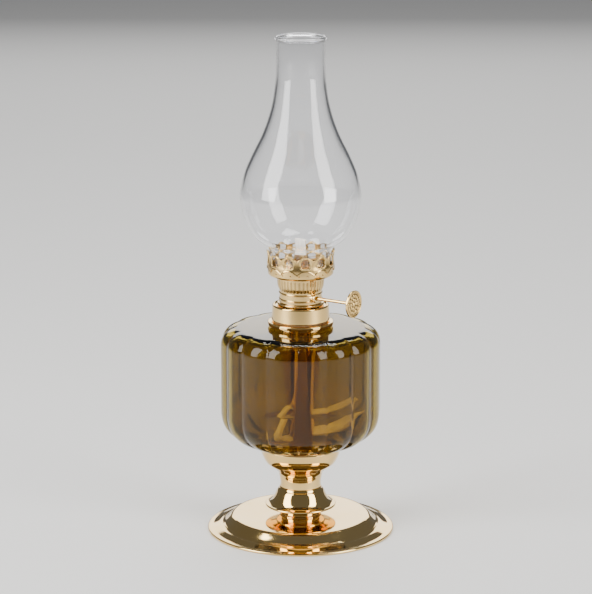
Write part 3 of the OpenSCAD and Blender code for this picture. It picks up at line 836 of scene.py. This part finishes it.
def build_burner_base():
    """The big polished ring of the burner with the screw plug under it."""
    s = sizes()
    z0, z1 = low("burner_base"), high("burner_base")
    seat = high("collar_gasket") + 0.04
    foot = reach("burner_base")
    plug, wall, t = 10.2, 0.6, 0.6
    outline = [(plug - wall, z0), (plug - 0.3, z0)]
    pitch = 1.2
    for k in range(3):
        z = z0 + 0.7 + k * pitch
        outline += [(plug - 0.22, z), (plug - 0.02, z + 0.3), (plug - 0.02, z + 0.62),
                    (plug - 0.22, z + 0.95)]
    ring = rounded([(plug - 0.1, seat - 0.9), (plug - 0.1, seat, 0.15), (foot - 0.25, seat, 0.25),
                    (foot, seat + 0.45, 0.3), (foot - 0.5, z1, 1.25), (s.band + 2.0, z1, 0.3),
                    (s.band - 1.6, z1), (s.band - 1.6, z1 - t), (foot - 1.7, z1 - t, 0.5),
                    (foot - t, seat + t, 0.2), (plug - wall, seat + t)], 10)
    turned_piece("BurnerBase", outline + ring, polished_brass, "burner_unit", "polished_brass",
                 "burner_base", segments=192)


def build_burner_shell():
    """The burner's thin body: rolled beads at the band, then a cup that flares to the gallery."""
    s = sizes()
    z0, z1 = low("burner_shell"), high("burner_shell")
    band_top = z1 - 7.7
    b, top = s.band, reach("burner_shell")

    def bead(z, out, rise=0.3):
        return [(b, z - rise - 0.12), (b + out * 0.5, z - rise * 0.72), (b + out, z - rise * 0.3),
                (b + out, z + rise * 0.3), (b + out * 0.5, z + rise * 0.72), (b, z + rise + 0.12)]

    outer = [(b + 0.9, z0), (b + 1.1, z0 + 0.12)]
    outer += [(b + 0.5 + 0.65 * math.cos(a), z0 + 0.68 + 0.62 * math.sin(a))
              for a in (math.radians(-45 + 15 * k) for k in range(10))]
    outer += [(b + 0.04, z0 + 1.5)] + bead(z0 + 3.0, 0.32) + bead(band_top - 0.4, 0.36)
    flare_run = spline([(b + 0.02, band_top + 0.2), (b + 0.12, band_top + 0.9), (top - 0.4, z1 - 5),
                        (top - 0.1, z1 - 3), (top, z1)], 7)
    outer += flare_run
    inner = [(radius - s.sheet, z) for radius, z in flare_run[::-1] + [(b, z0 + s.sheet)]]
    outline = outer + inner + [(b - 1.6, z0 + s.sheet), (b - 1.6, z0)]
    points, faces = turned(held(outline, 0.08), 288)
    points = np.array(points)
    radius = np.hypot(points[:, 0], points[:, 1])
    angle = np.arctan2(points[:, 1], points[:, 0])
    flare = (np.clip((points[:, 2] - band_top - 0.5) / 0.8, 0, 1)
             * np.clip((z1 - 0.5 - points[:, 2]) / 0.8, 0, 1))
    outside = radius > b - 0.1
    flutes = 0.5 + 0.5 * np.cos(angle * 36)
    dent = 0.16 * flare * outside * flutes ** 3
    points[:, 0] *= 1 - dent / radius
    points[:, 1] *= 1 - dent / radius
    # Painted shade for the hollows of the flutes, read by the stamped brass.
    recess = np.clip(flare * outside * flutes, 0, 1) * 0.8
    new_piece("BurnerShell", points, faces, stamped_brass, "burner_unit", "stamped_brass",
              "burner_shell", marks={"recess": recess})


# A crown window's corners, as shares of half a window step across and of its height
WINDOW = [(-0.5, 0.12), (-0.34, 0.0), (0.34, 0.0), (0.5, 0.12), (0.5, 0.66), (0.22, 1.0),
          (-0.22, 1.0), (-0.5, 0.66)]


def polygon_distance(px, pz, corners):
    """Signed distance from points to a polygon, negative inside."""
    best = np.full(px.shape, 1e9)
    inside = np.zeros(px.shape, bool)
    count = len(corners)
    for i in range(count):
        (x0, z0), (x1, z1) = corners[i], corners[(i + 1) % count]
        ex, ez = x1 - x0, z1 - z0
        t = np.clip(((px - x0) * ex + (pz - z0) * ez) / (ex * ex + ez * ez), 0, 1)
        best = np.minimum(best, np.hypot(px - x0 - t * ex, pz - z0 - t * ez))
        if ez:
            crossing = ((z0 > pz) != (z1 > pz)) & (px < x0 + (pz - z0) * ex / ez)
            inside ^= crossing
    return np.where(inside, -best, best)


def crown_distance(u, z, s):
    """Signed distance to the crown's flat pattern at arc u and height z, negative in metal."""
    z0, z1 = low("gallery_crown"), high("gallery_crown")
    step = TAU * crown_radius() / s.windows
    half = step / 2
    sill, window_h = z0 + 3.6, (z1 - z0) * 0.43
    valley = z1 - 3.0
    k = np.floor(u / step + 0.5)
    v = u - k * step
    scallop = [(-1.5, 0.0), (-0.88, 0.0), (-0.72, 0.55), (-0.5, 1.25), (-0.22, 1.72), (0.22, 1.72),
               (0.5, 1.25), (0.72, 0.55), (0.88, 0.0), (1.5, 0.0)]
    arches = [(1.5, 0.8), (1.0, 0.0), (0.72, 0.85), (0.38, 1.6), (0.0, 1.9), (-0.38, 1.6),
              (-0.72, 0.85), (-1.0, 0.0), (-1.5, 0.8)]
    body = polygon_distance(v, z, [(x * half, z0 + y) for x, y in scallop]
                            + [(x * half, valley + y) for x, y in arches])
    head = s.prong / 2
    stick = polygon_distance(v, z, [(-head * 1.08, valley), (head * 1.08, valley),
                                    (head * 0.96, z1 - head), (-head * 0.96, z1 - head)])
    prong = np.minimum(stick, np.hypot(v, z - (z1 - head)) - head)
    blend = 0.5
    share = np.clip(0.5 + 0.5 * (body - prong) / blend, 0, 1)
    joined = body * (1 - share) + prong * share - blend * share * (1 - share)
    metal = np.where(k.astype(int) % 2 == 0, joined, body)
    window = polygon_distance(v / half, (z - sill) / window_h, WINDOW) * half * 0.95 - 0.08
    return np.maximum(metal, -window)


def crown_radius():
    """Middle radius of the crown's sheet at its waist."""
    return reach("air_disc") + 0.23


def crown_profile(z):
    """Radius of the crown's outer face at a height."""
    z0, z1 = low("gallery_crown"), high("gallery_crown")
    out = reach("air_disc") + 0.45
    line = spline([(out + 0.45, z0), (out + 0.45, z0 + 2.2), (out + 0.1, z0 + 4.2), (out, z0 + 6.0),
                   (out + 0.15, z0 + 7.6), (out + 0.6, z1)], 10)
    radii, heights = zip(*line)
    return np.interp(z, heights, radii)


def build_crown():
    """The pierced crown: a flat pattern bent round, its edges rolled outward a little."""
    s = sizes()
    z0, z1 = low("gallery_crown"), high("gallery_crown")
    pitch = 0.16
    around = TAU * crown_radius()
    columns = int(round(around / pitch / s.windows)) * s.windows
    rows = int(round((z1 - z0 + 0.2) / pitch))
    u = (np.arange(columns) / columns * around)[None, :].repeat(rows + 1, 0)
    z = (z0 - 0.1 + (z1 - z0 + 0.2) * np.arange(rows + 1) / rows)[:, None].repeat(columns, 1)
    d = crown_distance(u, z, s)
    solid = d < 0
    n = lambda a: np.roll(a, -1, 1)
    cells = (solid[:-1] | n(solid)[:-1] | solid[1:] | n(solid)[1:])
    full = (solid[:-1].astype(int) + n(solid)[:-1] + solid[1:] + n(solid)[1:]) >= 2
    used = cells & full
    for _ in range(3):
        e = 0.02
        gu = (crown_distance(u + e, z, s) - crown_distance(u - e, z, s)) / (2 * e)
        gz = (crown_distance(u, z + e, s) - crown_distance(u, z - e, s)) / (2 * e)
        d = crown_distance(u, z, s)
        touched = np.zeros(d.shape, bool)
        touched[:-1] |= used
        touched[1:] |= used
        touched[:-1] |= np.roll(used, 1, 1)
        touched[1:] |= np.roll(used, 1, 1)
        corner = np.ones(d.shape, bool)
        corner[:-1] &= used
        corner[1:] &= used
        corner[:-1] &= np.roll(used, 1, 1)
        corner[1:] &= np.roll(used, 1, 1)
        edge = touched & ~corner
        move = np.where(edge, d, 0.0)
        u = u - move * gu * 0.9
        z = z - move * gz * 0.9
    d = crown_distance(u, z, s)
    roll = np.exp(-((d + 0.28) / 0.24) ** 2)
    radius = crown_profile(z) + 0.02
    lift = 0.17 * roll
    angle = s.first_window + u / crown_radius()
    grid = {}
    points, faces, recess = [], [], []
    for side, shift in ((0, lift), (1, lift - s.sheet)):
        r = radius + shift
        r = r - 0.10 * np.clip(1 + (d - 0.0) / 0.10, 0, 1) * (1 if side == 0 else -1)
        for i, j in zip(*np.nonzero(touched)):
            grid[side, i, j] = len(points)
            points.append((r[i, j] * math.cos(angle[i, j]),
                           r[i, j] * math.sin(angle[i, j]), z[i, j]))
            # Painted shade: on the outer face it darkens the flat metal away from the rolled edges;
            # the whole inner face is darkened.
            recess.append(max(0.0, min(1.0, (-d[i, j] - 0.55) / 0.5)) * 0.55 if side == 0 else 0.7)
    border = {}
    for i, j in zip(*np.nonzero(used)):
        k = (j + 1) % columns
        ring = [(i, j), (i, k), (i + 1, k), (i + 1, j)]
        faces.append([grid[(0, *c)] for c in ring])
        faces.append([grid[(1, *c)] for c in ring[::-1]])
        for a, b in zip(ring, ring[1:] + ring[:1]):
            if (b, a) in border:
                del border[b, a]
            else:
                border[a, b] = True
    for a, b in border:
        faces.append([grid[(0, *b)], grid[(0, *a)], grid[(1, *a)], grid[(1, *b)]])
    new_piece("GalleryCrown", points, faces, stamped_brass, "burner_unit", "stamped_brass",
              "gallery_crown", marks={"recess": recess})


def build_gallery():
    """The pierced bowl under the crown, and the air disc that the chimney stands on."""
    dress("gallery_bowl", stamped_brass)
    dress("air_disc", stamped_brass)
    build_crown()


# ---------------------------------------------------------------- wick tube, winder and knob

def build_winder():
    """Shaft, toothed wheels, bush and tube, and the knob with its pressed rosette."""
    for node in ("wick_tube", "spur_wheels"):
        dress(node, stamped_brass)
    x0, x1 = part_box("knob_shaft")[0].x / MM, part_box("knob_shaft")[1].x / MM
    r = (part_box("knob_shaft")[1].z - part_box("knob_shaft")[0].z) / 2 / MM
    knob_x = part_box("wick_knob")[1].x / MM
    line = rounded([(x0, 0), (x0, r, 0.15), (x1 - 3, r, 0.0), (x1 - 2.6, r),
                    (knob_x - 0.25, r * 0.9, 0.1),
                    (knob_x - 0.05, r * 0.55, 0.1), (knob_x, 0)], 4)
    points, faces = along_shaft(line, 48)
    new_piece("KnobShaft", points, faces, polished_brass, "winder", "polished_brass", "knob_shaft")
    b0, b1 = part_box("shaft_bush")[0].x / MM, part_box("shaft_bush")[1].x / MM
    flange = (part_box("shaft_bush")[1].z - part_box("shaft_bush")[0].z) / 2 / MM
    line = rounded([(b0, r + 0.05), (b0, flange - 0.5, 0.1), (b1 - 1.6, flange - 0.5, 0.2),
                    (b1 - 0.9, flange, 0.25), (b1, flange, 0.3), (b1, r + 0.35, 0.2),
                    (b1 - 0.3, r + 0.05)], 5)
    points, faces = along_shaft(line, 64)
    new_piece("ShaftBush", points, faces, polished_brass, "burner_unit", "polished_brass",
              "shaft_bush")
    build_knob()


def rosette(radius, angle, rim):
    """Height, from 0 to 1, of a pressed rosette: boss, two rings of petals, beads, rolled rim."""
    rho = radius / rim
    boss = np.clip(1 - (rho / 0.16) ** 2, 0, 1) ** 0.5 * 0.9
    wave = np.abs(np.cos(angle * 4))
    petal_in = (np.clip(1 - ((rho - 0.34) / (0.15 * (0.35 + 0.65 * wave))) ** 2, 0, 1)
                * 0.85 * wave ** 0.4)
    wave_out = np.abs(np.cos(angle * 6 + 0.4))
    petal_out = (np.clip(1 - ((rho - 0.62) / (0.16 * (0.3 + 0.7 * wave_out))) ** 2, 0, 1)
                 * 0.8 * wave_out ** 0.4)
    vein = 0.12 * np.cos(angle * 48) * np.clip(petal_out, 0, 1)
    beads = np.clip(1 - ((rho - 0.815) / 0.028) ** 2, 0, 1) * (0.35 + 0.3 * np.cos(angle * 40))
    rolled = np.clip(1 - ((rho - 0.93) / 0.07) ** 2, 0, 1) ** 0.5 * 1.25
    return np.maximum.reduce([boss, petal_in, petal_out + vein, beads, rolled])


def build_knob():
    """A round knob pressed on both faces, riveted on the shaft."""
    axis = joint_place("knob_turn")
    lo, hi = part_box("wick_knob")
    x0, x1 = lo.x / MM, hi.x / MM
    rim = (hi.z - lo.z) / 2 / MM
    hub = 2.4
    thick = 1.2
    columns, rows = 240, 56
    relief = 0.42
    ground = x1 - relief - 0.04
    angles = np.arange(columns) / columns * TAU
    points, recess, rings = [], [], []

    def ring(radius, x, mark):
        start = len(points)
        rings.append(start)
        points.extend((x[k], axis.y + radius * math.cos(a), axis.z + radius * math.sin(a))
                      for k, a in enumerate(angles))
        recess.extend(mark)

    # Painted shade: this mark darkens the rosette's ground on both faces; the rim rings and the hub
    # are not darkened.
    for i in range(rows + 1):
        radius = 0.62 + (rim * 0.992 - 0.62) * i / rows
        height = rosette(np.full(columns, radius), angles, rim)
        ring(radius, ground + relief * np.minimum(height, 1.15) * 0.9,
             1 - np.clip(height * 1.3, 0, 1))
    for t in range(1, 8):
        a = math.pi * t / 8
        middle = x0 + hub + thick / 2
        ring(rim * 0.985 + 0.012 * rim * math.sin(a),
             np.full(columns, middle + thick * 0.42 * math.cos(a)),
             np.zeros(columns))
    back = x0 + hub
    for i in range(rows + 1):
        radius = rim * 0.975 - (rim * 0.975 - 2.4) * i / rows
        height = rosette(np.full(columns, radius), angles, rim)
        ring(radius, back + 0.30 - 0.26 * np.minimum(height, 1.1), 1 - np.clip(height * 1.3, 0, 1))
    for radius, x in ((1.95, back - 0.02), (1.75, back - 0.3), (1.6, back - 1.2), (1.5, x0 + 0.25),
                      (1.35, x0 + 0.05), (0.82, x0 + 0.02)):
        ring(radius, np.full(columns, x), np.zeros(columns))
    faces = []
    for a, b in zip(rings, rings[1:] + rings[:1]):
        faces += [[a + k, a + (k + 1) % columns, b + (k + 1) % columns, b + k]
                  for k in range(columns)]
    new_piece("WickKnob", points, faces, embossed_brass, "winder", "polished_brass", "wick_knob",
              marks={"recess": recess})


# ---------------------------------------------------------------- wick

def strip_piece(name, centres, sideways, width, thick, maker, slot, *nodes, fray=0.0):
    """A woven flat strip along a line of points: cords run along it, threads cross them."""
    s = sizes()
    p = np.array(centres, float)
    d = np.gradient(p, axis=0)
    d /= np.linalg.norm(d, axis=1)[:, None]
    side = np.array(sideways, float)
    if side.ndim == 1:
        side = np.repeat(side[None], len(p), 0)
    side -= (side * d).sum(1)[:, None] * d
    side /= np.linalg.norm(side, axis=1)[:, None]
    face = np.cross(d, side)
    run = np.concatenate([[0], np.cumsum(np.linalg.norm(np.diff(p, axis=0), axis=1))])
    around = 72
    t = np.arange(around) / around * TAU
    power = 0.42
    a = np.sign(np.cos(t)) * np.abs(np.cos(t)) ** power * width / 2
    b = np.sign(np.sin(t)) * np.abs(np.sin(t)) ** power * thick / 2
    cords = 9
    points, marks = [], []
    for i in range(len(p)):
        cord = np.cos(a / width * cords * TAU)
        pick = np.cos(run[i] / s.wick_pitch * TAU + np.pi * np.floor(a / width * cords + 0.5))
        weave = 0.55 * cord + 0.45 * pick
        jitter = 0.05 * np.sin(run[i] * 7.3 + t * 5.0) * np.sin(run[i] * 2.1 + t * 9.0)
        grow = 1 + (0.10 * weave + jitter) * 0.5
        ravel = 1.0
        if fray and run[-1] - run[i] < fray:
            end = 1 - (run[-1] - run[i]) / fray
            ravel = 1 + 0.10 * end * np.sin(t * 11 + 1.3)
        w, h = a * (1 + 0.012 * weave) * ravel, b * grow * ravel
        points += list(p[i] + w[:, None] * side[i] + h[:, None] * face[i])
        marks += list(weave)
    faces = []
    for i in range(len(p) - 1):
        o, q = i * around, (i + 1) * around
        faces += [[o + k, o + (k + 1) % around, q + (k + 1) % around, q + k] for k in range(around)]
    ends = ((0, -1), (len(p) - 1, 1))
    for row, sign in ends:
        base = row * around
        previous = [base + k for k in range(around)]
        for share, push in ((0.8, 0.18), (0.45, 0.26), (0.12, 0.28)):
            start = len(points)
            tuft = push * (1 + 0.5 * np.sin(t * 7 + row) * np.sin(t * 13)) * sign
            points += list(p[row] + share * (a[:, None] * side[row] + b[:, None] * face[row])
                           + tuft[:, None] * d[row])
            marks += list(0.6 * np.sin(t * 9))
            fresh = [start + k for k in range(around)]
            for k in range(around):
                quad = [previous[k], previous[(k + 1) % around], fresh[(k + 1) % around], fresh[k]]
                faces.append(quad if sign > 0 else quad[::-1])
            previous = fresh
        faces.append(previous if sign > 0 else previous[::-1])
    return new_piece(name, points, faces, maker, "wick_strip", slot, *nodes,
                     marks={"thread": marks})


def build_wick():
    """The dry wick in its tube, and the soaked length that hangs and lies in the oil."""
    lo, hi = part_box("wick")
    z0, z1 = lo.z / MM, hi.z / MM
    width, thick = (hi.x - lo.x) / MM, (hi.y - lo.y) / MM
    part = low("font_collar") - 2.0
    rows = int((z1 - part) / 0.16)
    upper = [(0, 0, part + (z1 - 0.3 - part) * k / rows) for k in range(rows + 1)]
    strip_piece("Wick", upper, (1, 0, 0), width, thick, dry_cotton, "cotton", "wick", fray=2.0)
    rows = int((part - z0) / 0.2)
    hanging, sides = [], []
    for k in range(rows + 1):
        z = part - (part - z0) * k / rows
        drop = (part - z) / (part - z0)
        twist = math.radians(58) * smooth(drop, 0.02, 0.75)
        hanging.append((1.2 * math.sin(drop * 2.6) * drop, -0.6 * drop, z))
        sides.append((math.cos(twist), math.sin(twist), 0.0))
    strip_piece("WickInFont", hanging, sides, width * 0.96, thick * 1.05, soaked_cotton,
                "oily_cotton")
    build_tail(hanging[-1], width * 0.9, thick * 1.25)


def build_tail(start, width, thick):
    """The wick's loose end: a fold, then a length that curls along the bottom of the font."""
    lo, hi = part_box("wick_tail")
    turn = math.atan2(hi.y - lo.y, hi.x - lo.x)
    z = high("wick_tail") - 5.85
    route = [(0, 0.2), (0, -1.6), (-1.2, -3.2), (-2.8, -2.4), (-3.9, 0.8), (-4.8, 3.9), (-6, 5.2),
             (-7.2, 3.8), (-8.4, 0.4), (-9.7, -3.6), (-8.9, -5.6), (-6, -6.0), (-1, -5.7),
             (4, -4.9),
             (9, -4.5), (14, -3.6), (19, -1.2), (23, 2.2), (27.5, 5.3)]
    stretch = (hi - lo).to_2d().length / MM / 39.2
    smooth_route = spline(route, 14)
    centres, sides = [], []
    for k, (across, up) in enumerate(smooth_route):
        a = across * stretch
        share = k / len(smooth_route)
        sway = 0.7 * math.sin(share * 11.0)
        centres.append((start[0] * (1 - share) + a * math.cos(turn) - sway * math.sin(turn),
                        start[1] * (1 - share) + a * math.sin(turn) + sway * math.cos(turn),
                        z + up))
        lean = 0.5 * math.sin(share * 9.0 + 0.5)
        sides.append((-math.sin(turn), math.cos(turn), lean))
    tail = strip_piece("WickTail", centres, sides, width, thick, soaked_cotton, "oily_cotton",
                       "wick_tail", fray=3.0)
    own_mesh(tail)


# ---------------------------------------------------------------- chimney

def build_chimney():
    """The blown chimney: straight foot, bulge and tube, its two edges melted round."""
    s = sizes()
    z0, z1 = low("chimney"), high("chimney")
    tall = z1 - z0
    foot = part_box("air_disc")[1].x / MM - 0.35
    wall = s.chimney_wall
    start, k = z0 + 10, (tall - 10) / 107.2
    out, back = s.bulge - foot, s.bulge - s.tube
    run = [(foot, z0 + 0.62), (foot, z0 + 5.0), (foot, z0 + 9.0)]
    run += spline([(foot, z0 + 10.2), (foot + out * 0.104, z0 + 10.2 + 3.1 * k)]
                  + [(foot + out * share, start + up * k) for share, up in
                     ((0.528, 8.4), (0.861, 17.5), (0.98, 25.0), (1.0, 30.3))]
                  + [(s.bulge - back * share, start + up * k) for share, up in
                     ((0.107, 39.0), (0.305, 47.5), (0.627, 59.3), (0.853, 71.3), (0.966, 83.3),
                      (1.0, 93.0))]
                  + [(s.tube, z1 - 3.4), (s.tube + 0.1, z1 - 2.0), (s.tube + 0.36, z1 - 0.9)], 12)
    inner = offset(run, wall)
    top = [(run[-1][0] - wall / 2 + (wall / 2 + 0.05) * math.cos(a),
            run[-1][1] + 0.3 + 0.6 * math.sin(a))
           for a in (math.pi * k / 12 for k in range(13))]
    foot_edge = [(foot - wall / 2 - wall / 2 * math.cos(a), z0 + 0.6 - 0.6 * math.sin(a))
                 for a in (math.pi * k / 12 for k in range(1, 12))]
    outline = run + top + inner[::-1] + foot_edge
    points, faces = turned(outline, 200)
    new_piece("Chimney", points, faces, clear_glass, "chimney_glass", "clear_glass", "chimney")


# ---------------------------------------------------------------- stage

def build_stage():
    """Camera, plain pale floor and soft studio light."""
    stage = bpy.context.scene.lamp_stage
    camera = bpy.data.objects.new("Camera", bpy.data.cameras.new("Camera"))
    bpy.context.scene.collection.objects.link(camera)
    camera.data.lens = stage.lens
    camera.data.sensor_width = 36.0
    camera.location = (stage.distance * math.sin(stage.azimuth),
                       -stage.distance * math.cos(stage.azimuth), stage.camera_height)
    camera.rotation_euler = (math.pi / 2 - stage.pitch, 0.0, stage.azimuth + stage.yaw)
    camera.data.clip_start, camera.data.clip_end = 0.05, 60.0
    bpy.context.scene.camera = camera

    mesh = bpy.data.meshes.new("Floor")
    half = 6.0
    mesh.from_pydata([(-half, -half, 0), (half, -half, 0), (half, half, 0), (-half, half, 0)], [],
                     [(0, 1, 2, 3)])
    mesh.materials.append(material(pale_floor))
    floor = bpy.data.objects.new("Floor", mesh)
    bpy.context.scene.collection.objects.link(floor)

    def softbox(name, around, away, up, width, tall, watts, tone=(1.0, 1.0, 1.0)):
        """A soft light at an angle to the right of the camera's side, aimed at the lamp."""
        light = bpy.data.lights.new(name, "AREA")
        light.shape = "RECTANGLE"
        light.size, light.size_y = width, tall
        light.energy = watts
        light.color = tone
        lamp = bpy.data.objects.new(name, light)
        bpy.context.scene.collection.objects.link(lamp)
        a = stage.azimuth + math.radians(around)
        lamp.location = (away * math.sin(a), -away * math.cos(a), up)
        aim = Vector((0, 0, 0.12)) - lamp.location
        lamp.rotation_euler = aim.to_track_quat("-Z", "Y").to_euler()

    softbox("LeftBox", -64, 0.9, 0.60, 0.55, 0.95, 16.0)
    softbox("RightBox", 58, 1.0, 0.58, 0.50, 0.90, 13.0, (1.0, 0.985, 0.96))
    softbox("TopBox", 170, 0.55, 1.5, 0.9, 0.7, 18.0)
    softbox("BackBox", 180, 1.7, 0.62, 1.6, 0.45, 7.0)

    world = bpy.data.worlds.new("Studio")
    world.use_nodes = True
    back = world.node_tree.nodes["Background"]
    back.inputs["Color"].default_value = (0.74, 0.76, 0.80, 1.0)
    back.inputs["Strength"].default_value = 0.20
    bpy.context.scene.world = world


# ---------------------------------------------------------------- operators and panel

def operator(idname, label, text, *builders):
    """An operator that runs builders in order."""

    def execute(self, context):
        for build in builders:
            build()
        return {"FINISHED"}

    return type("LAMP_OT_" + idname, (bpy.types.Operator,), {
        "bl_idname": "lamp." + idname, "bl_label": label, "__doc__": text, "execute": execute})


OPERATORS = [
    operator("stage", "Stage", "Camera, floor and lights", build_stage),
    operator("foot", "Foot and stem", "Foot, stem and cup", build_foot, build_stem, build_cup),
    operator("fastenings", "Fastenings", "Rod, nuts, washer and cement", build_fastenings),
    operator("font", "Font", "Glass font", build_font),
    operator("oil", "Oil", "Oil in the font", build_oil),
    operator("collar", "Collar", "Collar and gasket", build_collar),
    operator("burner", "Burner", "Burner base and body", build_burner_base, build_burner_shell),
    operator("gallery", "Gallery", "Bowl, crown and air disc", build_gallery),
    operator("winder", "Winder", "Shaft, wheels, bush and knob", build_winder),
    operator("wick", "Wick", "Wick and its loose end", build_wick),
    operator("chimney", "Chimney", "Glass chimney", build_chimney),
]


class LAMP_PT_panel(bpy.types.Panel):
    """Lists the lamp's pieces and its sizes and colours."""
    bl_idname = "LAMP_PT_panel"
    bl_label = "Oil lamp"
    bl_space_type = "VIEW_3D"
    bl_region_type = "UI"
    bl_category = "Oil lamp"

    def draw(self, context):
        layout = self.layout
        for cls in OPERATORS:
            layout.operator(cls.bl_idname)
        for group in (context.scene.lamp_sizes, context.scene.lamp_finish,
                      context.scene.lamp_stage):
            box = layout.box()
            for key in type(group).__annotations__:
                box.prop(group, key)


CLASSES = [LampSizes, LampFinish, LampStage, *OPERATORS, LAMP_PT_panel]


def register():
    for cls in CLASSES:
        bpy.utils.register_class(cls)
    bpy.types.Scene.lamp_sizes = PointerProperty(type=LampSizes)
    bpy.types.Scene.lamp_finish = PointerProperty(type=LampFinish)
    bpy.types.Scene.lamp_stage = PointerProperty(type=LampStage)


def unregister():
    del bpy.types.Scene.lamp_stage
    del bpy.types.Scene.lamp_finish
    del bpy.types.Scene.lamp_sizes
    for cls in reversed(CLASSES):
        bpy.utils.unregister_class(cls)


def main():
    register()
    for cls in OPERATORS:
        name = cls.bl_idname.split(".")[1]
        getattr(bpy.ops.lamp, name)()


if __name__ == "__main__":
    main()
